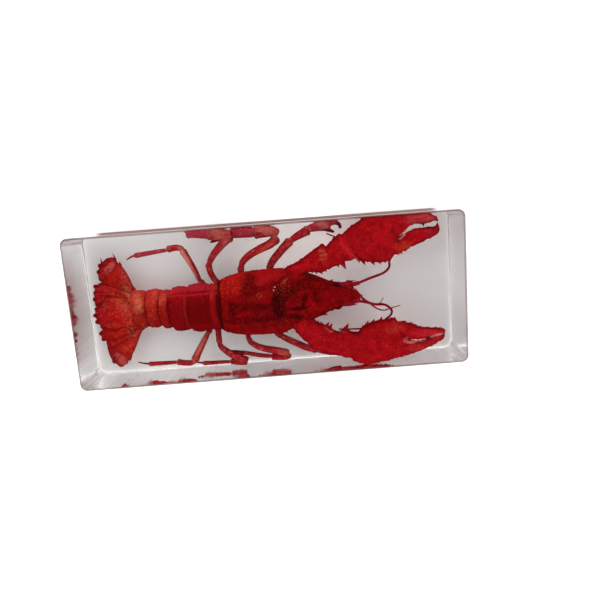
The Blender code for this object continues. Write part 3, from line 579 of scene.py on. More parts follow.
# The tail is six hinged shells, one slipped under the next from the front, each with a smooth rim in front, a
# furrow across the back and side flaps that hang down. The last ones are the palest, gold where they dried.
RING_VOXEL = 0.15 * MM
# Where the rings meet along X, and how far each of these edges bows forward at the flanks
RING_EDGES = [(-15.25, 0.0), (-17.8, 0.4), (-24.7, 0.9), (-30.0, 1.4), (-32.7, 1.4), (-36.6, 1.2), (-40.8, 0.2)]
# and where that is, in millimetres from the middle line
SWEEP_REACH = 7.0
# The share of a ring's length at either end that stays square when the ring is rounded
SQUARE_END = 0.08
# The rings before the last one dried a little to the right of the line
RING_SLIP = -0.25
# A ring's front slips forward under its neighbour: how far, how far back that reaches, and what its girth loses
TUCK = 1.2
TUCK_REACH = 1.4
TUCK_SHRINK = 0.06
# The side flaps: how far they lean back and outwards, and how deep they hang
FLAP_LEAN = 14.0
FLAP_SPREAD = 10.0
FLAP_DROP = 2.2
# The rings' bands, front to rear: start, end, strength and shade. The first, dark band is partly the membrane
# under the shell's rim and partly painted shade in the gap there
TAIL_BANDS = [
    (-14.6, -15.9, 0.85, 78, 8, 11), (-16.0, -17.6, 0.7, 182, 28, 27), (-17.6, -18.6, 0.7, 118, 12, 17),
    (-18.6, -24.1, 0.85, 118, 13, 18), (-23.9, -24.5, 0.6, 82, 8, 12), (-24.6, -25.4, 0.6, 186, 48, 48),
    (-25.9, -29.6, 0.55, 140, 19, 25), (-29.6, -30.4, 0.7, 96, 9, 13), (-30.5, -32.5, 0.7, 168, 38, 30),
    (-32.6, -33.3, 0.8, 104, 10, 14), (-33.4, -36.4, 0.8, 166, 36, 30), (-36.4, -37.1, 0.8, 104, 10, 14),
    (-37.2, -44.0, 0.8, 164, 46, 36),
]
# The blots on them: place, half sizes, turn, strength and shade
TAIL_BLOTS = [
    (-16.6, 2.4, 1.4, 0.7, 84, 0.7, 168, 44, 38), (-26.3, -3.0, 1.3, 0.4, -87, 0.5, 160, 44, 46),
    (-26.6, 3.2, 3.4, 2.0, 5, 0.6, 164, 22, 28), (-21.4, 3.4, 3.0, 1.4, 3, 0.5, 142, 16, 22),
    (-33.3, 2.9, 1.7, 0.9, -75, 0.7, 192, 96, 74), (-30.6, 2.3, 2.0, 0.8, 36, 0.6, 190, 84, 60),
    (-31.9, 1.9, 1.8, 0.5, 83, 0.5, 188, 60, 40), (-38.6, 1.2, 2.7, 1.2, -86, 0.8, 202, 112, 84),
    (-39.3, -4.1, 2.0, 0.9, -40, 0.5, 182, 54, 36), (-40.9, -2.4, 2.2, 1.0, -67, 0.5, 174, 36, 28),
    (-34.7, -1.7, 3.5, 0.8, 83, 0.4, 176, 48, 38), (-31.8, -2.7, 1.7, 0.6, -83, 0.6, 138, 16, 18),
]
# The dark rear edges of the rear rings
TAIL_SEAMS = (-30.1, -32.9, -36.8)


def bow(y, sweep):
    """How far a ring's curved edge leads at a distance from the body's middle line."""
    return sweep * ((y - BODY_MIDDLE) / SWEEP_REACH) ** 2


def ring_line(front, rear, sweep, share):
    """A line across a ring's back, at this share of its length from the front."""
    sides = [BODY_MIDDLE + 1.1 * step for step in range(-8, 9)]
    return [(front + share * (rear - front) + bow(y, sweep), y) for y in sides]


def bead(place, along, across, thick, turn=0.0):
    """A rounded lump: a ball drawn out along X, Y and Z and turned about Z, in millimetres and degrees."""
    bpy.ops.mesh.primitive_uv_sphere_add(
        segments=20, ring_count=12, radius=MM, location=at(*place), rotation=(0, 0, math.radians(turn))
    )
    lump = bpy.context.active_object
    lump.scale = (along, across, thick)
    return lump


def keep_ends_sharp(piece, is_end):
    """Creases the edges that lie on an end of the piece, so that rounding leaves them square."""
    cage = bmesh.new()
    cage.from_mesh(piece.data)
    crease = cage.edges.layers.float.new("crease_edge")
    for edge in cage.edges:
        edge[crease] = 1.0 if all(is_end(vert.co / MM) for vert in edge.verts) else 0.0
    cage.to_mesh(piece.data)
    cage.free()


rings = []
for number, ((front, front_sweep), (rear, rear_sweep)) in enumerate(zip(RING_EDGES, RING_EDGES[1:]), start=1):
    node = f"abdomen_segment_{number}"
    low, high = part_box(node)
    length = front - rear
    ring = merged_copy(node, f"tail_ring_{number}")

    def share_of(x, y):
        """How far back in the ring a place lies: 0 at its front edge, 1 at its rear edge."""
        return (front + bow(y, front_sweep) - x) / length

    keep_ends_sharp(ring, lambda place: not SQUARE_END < share_of(place[0], place[1]) < 1 - SQUARE_END)
    rounded(ring, 2)
    middle_z = (low.z + high.z) / 2
    places, _ = skin(ring)
    y = places[:, 1] / MM
    share = np.clip(share_of(places[:, 0] / MM, y), 0, 1)
    tucked = np.clip(1 - share * length / TUCK_REACH, 0, 1)
    flared = np.clip(1 - (1 - share) * length / TUCK_REACH, 0, 1) ** 2
    swell = 0.3 if number < 4 else 0.8
    girth = 1.02 + swell * (0.03 * flared - TUCK_SHRINK * tucked + 0.02 * np.sin(share * math.pi))
    places[:, 0] += (TUCK * tucked - 0.3 * flared) * MM
    slip = RING_SLIP if 2 < number < 6 else 0.0
    places[:, 1] = (BODY_MIDDLE + slip + (y - BODY_MIDDLE) * girth) * MM
    places[:, 2] = middle_z + (places[:, 2] - middle_z) * girth
    move_skin(ring, places)
    flaps = []
    if number < 6:
        for side, edge_y in ((1, high.y / MM), (-1, low.y / MM)):
            flap_x = (front + rear) / 2 + bow(edge_y, rear_sweep) - 0.4
            flap_y = edge_y - side * (0.5 if number < 4 else 1.1) + slip
            flap = bead((flap_x, flap_y, middle_z / MM - 1.8), max(0.46 * length, 1.0), 0.5, FLAP_DROP)
            flap.rotation_euler = (math.radians(side * FLAP_SPREAD), math.radians(FLAP_LEAN), 0)
            flaps.append(flap)
    join(ring, flaps)
    fused(ring, RING_VOXEL, 1)
    score(ring, ring_line(front, rear, front_sweep, 0.9 / length), 0.2, 0.2, wrap=1.0)
    score(ring, ring_line(front, rear, rear_sweep, 1 - 0.35 / length), -0.12, 0.22, wrap=1.0)
    score(ring, ring_line(front, rear, rear_sweep, 1 - 0.85 / length), 0.14, 0.18, wrap=1.0)
    if number in (2, 3, 6):
        score(ring, ring_line(front, rear, (front_sweep + rear_sweep) / 2, 0.42), 0.12, 0.3, wrap=0.5)
    score(ring, [(front, -6.2), (rear, -6.0)], 0.2, 0.3)
    score(ring, [(front, 2.7), (rear, 2.5)], 0.2, 0.3)
    dry = 1.0 if number > 3 else 0.6
    granulate(ring, int(900 * dry), 0.3, 0.14 * dry, 20 + number, lambda place, normal: normal[2] > -0.2)
    rings.append((ring, node))

tail = Finish("tail_ring_finish", 0.5, Specular_IOR_Level=0.0)
along, across = tail.axis("X"), tail.axis("Y")
aside = across - BODY_MIDDLE
ragged = tail.noise(1.3) * 1.4 - 0.7
fine = tail.noise(0.45)
bowed = along - aside * aside * 0.02 + ragged * 0.3
tail.cloud(1.6, 0.35, 0.65, (168, 21, 26), (132, 14, 19))
for start, end, strength, *shade in TAIL_BANDS:
    band = tail.step(bowed, start + 0.25, start - 0.25) * tail.step(bowed, end - 0.25, end + 0.25)
    tail.lay(band * strength, *shade)
flanks = tail.step(across + ragged * 0.6, 1.2, 2.2) + tail.step(across + ragged, -6.0, -7.2)
tail.lay(flanks * tail.step(along, -30.5, -29.5) * 0.7, 156, 19, 27)
tail.lay_blots(TAIL_BLOTS, ragged)
warm = tail.step(along, -30.2, -31.4)
tail.lay(tail.patches(0.9, 0.52, 0.66) * warm * 0.5, 206, 84, 60)
tail.lay(tail.patches(0.8, 0.5, 0.62, 4.0, (1.0, 0.6, 1.0)) * warm * 0.6, 138, 16, 19)
dried = tail.spot(-38.9, 1.2, 2.4, 1.2, ragged) + tail.spot(-31.5, 1.4, 1.2, 0.8)
tail.lay(tail.dots(0.42, 0.4, 0.16) * dried * 0.6, 232, 170, 122)
tail.lay(tail.patches(0.7, 0.54, 0.7, 3.0) * 0.35, 80, 8, 12)
tail.lay(tail.dots(0.6, 0.36, 0.14) * 0.25, 206, 56, 48)
tail.lay(tail.dots(0.46, 0.56, 0.78) * 0.4, 88, 6, 11)
# The front rings are darker from the middle down, the rear ones brighter on the left and duller on the right
lower = tail.step(across + ragged * 0.4, 1.2, -1.4)
rearward = tail.step(along, -29.8, -30.6)
tail.lay(lower * tail.step(along, -30.4, -29.8) * 0.42, 84, 7, 10)
tail.lay((1.0 - lower) * rearward * 0.35, 216, 66, 48)
tail.lay(tail.step(across, -2.6, -4.0) * rearward * 0.3, 116, 12, 15)
for seam in TAIL_SEAMS:
    rear_edge = tail.step(bowed, seam + 0.5, seam + 0.2) * tail.step(bowed, seam - 0.4, seam - 0.1)
    tail.lay(rear_edge * 0.65, 104, 9, 15)
# Painted light and shade: flanks that face the left side are painted lighter, and those that face the right
# side darker
side_light_facing = tail.at_point("Normal", "Y")
tail.lay(tail.step(side_light_facing + fine * 0.2, 0.62, 0.9) * 0.6, 188, 48, 58)
tail.lay(tail.step(side_light_facing - fine * 0.2, -0.72, -0.95) * 0.6, 100, 10, 22)
tail.complete(fine * 0.2 + 0.4, fine - tail.cells(0.4) * 0.8, 0.09)
for ring, node in rings:
    add_painted(ring, tail, "abdomen", node)

# The tail fan is five thin plates hinged to the last ring: the telson in the middle and two on each side. Each
# is stiffened by ribs, crossed by a seam, and fringed with bristles that dried into clumps.
PLATE_VOXEL = 0.1 * MM
PLATE_THICKNESS = 0.5
# The plate's own edge stops a little inside the bristles' tips
EDGE_SHARE = 0.965
HINGE_SIZE = (1.5, 1.6, 0.75)
THORN_WIDTH = 0.32
CLUMP_SPACING = 1.9
CLUMP_SIZE = (1.35, 0.41 * CLUMP_SPACING, 0.26)
BRISTLES_IN_CLUMP = 9
BRISTLE_WIDTH = 0.2
# A plate arches up on its way to the rear and droops at its tip: how far that takes, and how much each is
ARCH_REACH = 11.0
ARCH_RISE = 0.35
TIP_DROOP = 0.25
# Fine furrows fan out from the root: degrees from one to the next, and where they start and end
RAY_TURN = 5
RAY_SPAN = (8.2, 14.0)
# For each plate: its height, the middle of its root, its outline seen from above, which of the outline's points
# carry bristles, its ribs, its seams and its thorns
FAN = {
    "uropod_outer_left": {
        "height": 6.9,
        "root": (-40.8, 4.2),
        "outline": [
            (-40.2, 5.3), (-40.8, 7.5), (-42.0, 10.4), (-43.3, 12.5), (-44.0, 13.0), (-44.7, 14.3),
            (-45.6, 14.9), (-47.4, 14.6), (-48.4, 13.8), (-49.2, 13.4), (-49.8, 12.2), (-50.3, 11.0),
            (-50.5, 9.8), (-50.2, 8.7), (-49.4, 7.6), (-48.4, 6.6), (-45.0, 4.6), (-41.0, 3.0),
        ],
        "fringe": (9, 14),
        "ribs": [[(-41.2, 4.8), (-44.8, 8.4), (-48.4, 11.8)], [(-41.0, 5.8), (-42.6, 9.8), (-44.4, 13.0)]],
        "seams": [[(-43.7, 12.7), (-45.5, 11.6), (-47.2, 9.6), (-49.0, 7.5)]],
        "thorns": [
            ((-44.4, 13.6), (-45.3, 16.0)),
            ((-43.0, 11.9), (-43.6, 13.6)),
            ((-48.6, 13.0), (-48.9, 14.9)),
        ],
    },
    "uropod_outer_right": {
        "height": 6.9,
        "root": (-39.8, -6.8),
        "outline": [
            (-38.2, -7.6), (-39.3, -8.1), (-40.2, -9.6), (-41.1, -11.8), (-42.5, -14.4), (-43.9, -16.6),
            (-44.7, -17.5), (-46.1, -18.8), (-47.4, -19.3), (-48.7, -18.0), (-50.0, -16.3), (-50.5, -14.4),
            (-50.7, -12.2), (-50.4, -9.6), (-47.4, -7.4), (-42.0, -5.2), (-38.8, -4.8),
        ],
        "fringe": (9, 10),
        "ribs": [
            [(-40.4, -7.4), (-44.6, -12.0), (-48.2, -16.2)],
            [(-39.8, -8.4), (-42.2, -12.8), (-44.4, -16.4)],
        ],
        "seams": [[(-43.8, -16.5), (-45.4, -15.4), (-47.3, -14.0), (-50.2, -11.9)]],
        "thorns": [((-43.4, -15.6), (-44.2, -17.5)), ((-44.6, -16.6), (-45.2, -18.4))],
    },
    "uropod_inner_left": {
        "height": 8.1,
        "root": (-41.0, 2.0),
        "outline": [
            (-40.6, 3.4), (-43.2, 4.9), (-46.0, 6.2), (-48.5, 6.9), (-50.6, 7.0), (-51.5, 6.3),
            (-51.9, 5.0), (-52.3, 3.5), (-52.4, 2.2), (-52.2, 1.2), (-51.3, 0.3), (-48.0, -0.4),
            (-41.0, -0.6),
        ],
        "fringe": (3, 10),
        "ribs": [[(-41.6, 2.2), (-46.0, 3.5), (-51.0, 4.0)]],
        "seams": [],
        "thorns": [((-49.4, 6.5), (-50.6, 7.5))],
    },
    "uropod_inner_right": {
        "height": 8.1,
        "root": (-41.0, -5.4),
        "outline": [
            (-40.0, -6.8), (-43.6, -8.8), (-47.2, -10.0), (-50.3, -10.1), (-51.4, -9.6), (-51.8, -8.3),
            (-51.3, -7.0), (-50.2, -5.9), (-46.0, -4.6), (-40.8, -3.0),
        ],
        "fringe": (3, 7),
        "ribs": [[(-41.4, -5.6), (-46.0, -7.2), (-50.6, -8.2)]],
        "seams": [],
        "thorns": [],
    },
    "telson": {
        "height": 9.3,
        "root": (-41.0, -1.8),
        "outline": [
            (-40.2, 2.4), (-43.0, 2.9), (-46.4, 3.4), (-48.6, 3.3), (-49.6, 1.7), (-51.1, 0.7),
            (-52.1, -0.3), (-52.4, -1.5), (-52.3, -3.0), (-51.9, -4.4), (-51.3, -5.5), (-50.0, -6.1),
            (-48.0, -6.8), (-45.0, -6.7), (-42.0, -6.2), (-39.6, -5.9),
        ],
        "fringe": (4, 11),
        "ribs": [[(-41.8, 1.2), (-45.4, 1.9), (-48.2, 2.0)], [(-41.6, -4.6), (-45.2, -5.2), (-47.8, -5.4)]],
        "seams": [[(-48.6, 2.8), (-48.8, 0.8), (-48.6, -2.2), (-48.0, -4.4), (-47.6, -6.4)]],
        "thorns": [((-47.8, 2.9), (-49.4, 3.6)), ((-47.4, -6.2), (-48.9, -7.2))],
    },
}
# The fields of colour on the fan: place, half sizes, turn, strength and shade
FAN_BLOTS = [
    (-45.9, 7.5, 3.7, 1.5, -62, 0.7, 184, 34, 22), (-41.8, 9.1, 3.2, 1.0, -74, 0.6, 172, 54, 48),
    (-46.9, 12.8, 2.6, 1.5, -40, 0.8, 154, 20, 32), (-46.5, 11.4, 2.2, 0.9, 44, 0.75, 196, 92, 86),
    (-47.9, 10.0, 1.9, 0.35, 47, 0.7, 122, 12, 24), (-41.6, 3.4, 2.4, 0.9, -60, 0.6, 212, 122, 92),
    (-43.7, 0.6, 3.5, 1.6, -45, 0.7, 186, 64, 48), (-44.1, 4.8, 3.1, 0.8, -19, 0.6, 180, 48, 36),
    (-49.7, 2.7, 1.7, 0.9, -76, 0.6, 164, 26, 34), (-51.2, -2.3, 2.6, 1.2, -74, 0.7, 142, 15, 24),
    (-49.0, 0.7, 2.1, 0.3, -88, 0.6, 188, 66, 66), (-45.6, -4.4, 3.7, 0.9, -24, 0.5, 168, 20, 20),
    (-45.5, -9.5, 3.8, 1.5, -41, 0.6, 180, 32, 24), (-48.8, -8.0, 2.6, 1.0, -69, 0.7, 156, 15, 22),
    (-46.8, -11.7, 3.1, 0.4, 22, 0.7, 126, 8, 16), (-46.6, -16.4, 2.3, 1.3, -52, 0.8, 194, 84, 82),
    (-44.7, -13.0, 1.3, 0.7, -52, 0.6, 196, 64, 46), (-42.2, -8.4, 1.7, 0.8, -24, 0.5, 176, 64, 58),
    (-49.4, -13.3, 2.7, 0.8, -79, 0.6, 132, 10, 20), (-41.5, -11.5, 2.8, 0.5, 64, 0.5, 182, 28, 34),
]
# Turns the faces of a piece outwards
OUTWARDS = (bpy.ops.mesh.normals_make_consistent, {"inside": False})


def curve_through(points, step):
    """A smooth line through the points, as places a step apart."""
    points = [Vector(point) for point in points]
    line = []
    for number in range(len(points) - 1):
        first, second = points[number], points[number + 1]
        before = points[number - 1] if number else first * 2 - second
        after = points[number + 2] if number + 2 < len(points) else second * 2 - first
        count = max(int((second - first).length / step), 1)
        for part in range(count):
            t = part / count
            line.append(
                0.5 * (2 * first + (second - before) * t + (2 * before - 5 * first + 4 * second - after) * t * t
                       + (3 * first - before - 3 * second + after) * t ** 3)
            )
    return line + [points[-1]]


def sheet(name, outline, height, thickness):
    """A thin plate with this outline seen from above, in millimetres."""
    flat = bpy.data.meshes.new(name)
    flat.from_pydata([at(x, y, height - thickness / 2) for x, y in outline], [], [range(len(outline))])
    raised = {"TRANSFORM_OT_translate": {"value": (0, 0, thickness * MM)}}
    return edited(new_piece(name, flat), (bpy.ops.mesh.extrude_region_move, raised), OUTWARDS)


def bristles(root, edge, height, seed):
    """The fringe along a plate's edge: bristles that lie flat, stuck together in blunt clumps."""
    chance = random.Random(seed)
    centre = Vector((*root, height))
    line = [Vector((*place, height)) for place in curve_through(edge, CLUMP_SPACING / BRISTLES_IN_CLUMP)]
    parts = []
    for first in range(0, len(line) - 2, BRISTLES_IN_CLUMP):
        clump = line[first : first + BRISTLES_IN_CLUMP]
        middle = clump[len(clump) // 2]
        out = (middle - centre).normalized()
        reach = chance.uniform(-0.25, 0.25)
        turn = math.degrees(math.atan2(out.y, out.x))
        parts.append(bead(tuple(middle + out * (reach - 1.15)), *CLUMP_SIZE, turn))
        for place in clump:
            away = (place - centre).normalized()
            tip = (place + away * chance.uniform(-0.2, 0.2)).lerp(middle + out * reach, 0.35)
            tip.z += chance.uniform(-0.12, 0.12)
            foot = place - away * chance.uniform(1.2, 1.6)
            parts.append(cone(tuple(foot), tuple(tip), BRISTLE_WIDTH))
    return parts


def keep_distance(piece, line):
    """Notes on each point of a piece how far it lies from its outline, in millimetres, for its finish."""
    places, _ = skin(piece)
    mark_points(piece, "rim", (distance_to(line + line[:1], places) / MM).astype(np.float32))


plates = []
for seed, (node, form) in enumerate(FAN.items()):
    height, root = form["height"], form["root"]
    centre = Vector(root)
    drawn_in = [centre + (Vector(place) - centre) * EDGE_SHARE for place in form["outline"]]
    line = curve_through(drawn_in + drawn_in[:1], 0.3)[:-1]
    plate = sheet(node + "_plate", line, height, PLATE_THICKNESS)
    hinge = bead((root[0] - 0.2, root[1], height), *HINGE_SIZE)
    thorns = [cone((*start, height), (*tip, height + 0.1), THORN_WIDTH) for start, tip in form["thorns"]]
    join(plate, [hinge, *thorns])
    fused(plate, PLATE_VOXEL)
    places, _ = skin(plate)
    away = np.linalg.norm(places[:, :2] / MM - np.array(root), axis=1) / ARCH_REACH
    rise = ARCH_RISE * np.sin(np.clip(away, 0, 1) * math.pi) - TIP_DROOP * np.clip(away, 0, 2) ** 3
    places[:, 2] += rise * MM
    move_skin(plate, places)
    for rib in form["ribs"]:
        score(plate, rib, -0.34, 0.3)
        score(plate, rib, -0.2, 0.3, facing=-1.0)
        score(plate, [(x, y + 0.55) for x, y in rib], 0.14, 0.2)
    for seam in form["seams"]:
        score(plate, seam, 0.26, 0.16)
        score(plate, [(x + 0.35, y) for x, y in seam], -0.18, 0.2)
    for turn in range(0, 360, RAY_TURN):
        out = (math.cos(math.radians(turn)), math.sin(math.radians(turn)))
        ray = [(root[0] + out[0] * reach, root[1] + out[1] * reach) for reach in RAY_SPAN]
        score(plate, ray, 0.1, 0.13)
    granulate(plate, 700, 0.27, 0.1, 40 + seed, lambda place, normal: normal[2] > 0.3 and place[0] > -48.5)
    keep_distance(plate, line)
    first, last = form["fringe"]
    join(plate, bristles(root, form["outline"][first : last + 1], height - 0.15, 50 + seed))
    only(plate)
    bpy.ops.object.shade_smooth()
    plates.append((plate, node))

fan = Finish("tail_fan_finish", 0.5, Specular_IOR_Level=0.0)
along, across = fan.axis("X"), fan.axis("Y")
ragged = fan.noise(1.2) * 1.4 - 0.7
fine = fan.noise(0.45)
fan.cloud(1.3, 0.36, 0.62, (190, 38, 32), (156, 21, 24))
fan.lay(fan.patches(0.75, 0.52, 0.66) * 0.4, 198, 84, 62)
# Behind their seams the plates end in darker lobes
rear = fan.step(along + ragged * 0.4, -48.3, -49.0)
far_left = fan.step(across * 0.55 - along + ragged * 0.5, 51.0, 51.6) * fan.step(across, 6.6, 7.4)
far_right = fan.step(across * -0.5 - along + ragged * 0.5, 53.0, 53.7) * fan.step(across, -11.2, -12.2)
lobes = 1.0 - (1.0 - rear) * (1.0 - far_left) * (1.0 - far_right)
fan.lay(lobes * 0.85, 162, 24, 32)
fan.lay_blots(FAN_BLOTS, ragged)
# Dark streaks and light glints on the lobes, a dark net, sand and granules on the rest, and a dark rim
fan.lay(fan.patches(0.5, 0.5, 0.66, 3.0, (0.3, 1.0, 1.0)) * lobes * 0.55, 96, 8, 18)
glints = fan.patches(0.6, 0.56, 0.68, 3.0, (0.4, 1.0, 1.0)) * fan.step(along, -47.4, -48.8)
fan.lay(glints * 0.45, 206, 78, 80)
fan.lay(fan.dots(0.9, 0.56, 0.74) * (1.0 - lobes) * 0.5, 124, 14, 17)
fan.lay(fan.dots(0.42, 0.42, 0.16) * fan.step(along + ragged, -44.8, -42.4) * 0.45, 222, 156, 120)
fan.lay(fan.dots(0.55, 0.34, 0.12) * 0.25, 222, 92, 66)
fan.lay(fan.step(fan.mark("rim") + fine * 0.2, 0.5, 0.25) * 0.7, 92, 8, 16)
fan.complete(fine * 0.2 + 0.42, fine - fan.cells(0.35) * 0.8, 0.08)
for plate, node in plates:
    add_painted(plate, fan, "tail_fan", node)

# The claws are the first pair of legs, grown large: arm, wrist and palm, with the fixed finger on the palm and
# a movable one hinged beside it. They are covered in granules, with a comb of spines along the inner edge.
CLAW_VOXEL = 0.15 * MM
CLAW_GROWTH = 0.12
# How far to each side a claw may reach before it would touch a wall of the block
CLAW_ROOM = (-21.3, 21.1)
# Spines stand out a little beyond their tips in the table, and those before the fingers have a second one above
SPINE_STRETCH = 1.1
UPPER_SPINES_END = 36
# How high the middle of a claw lies and how far it swells up and down from there, along X
CLAW_HEIGHTS = [
    (4.0, 11.4, 1.6), (9.0, 13.2, 2.6), (15.0, 15.2, 2.9), (19.0, 16.8, 3.3), (23.0, 17.8, 3.0),
    (28.0, 18.6, 3.7), (34.0, 18.8, 3.8), (38.0, 18.8, 2.6), (44.0, 18.8, 1.7), (49.0, 18.8, 1.0),
]
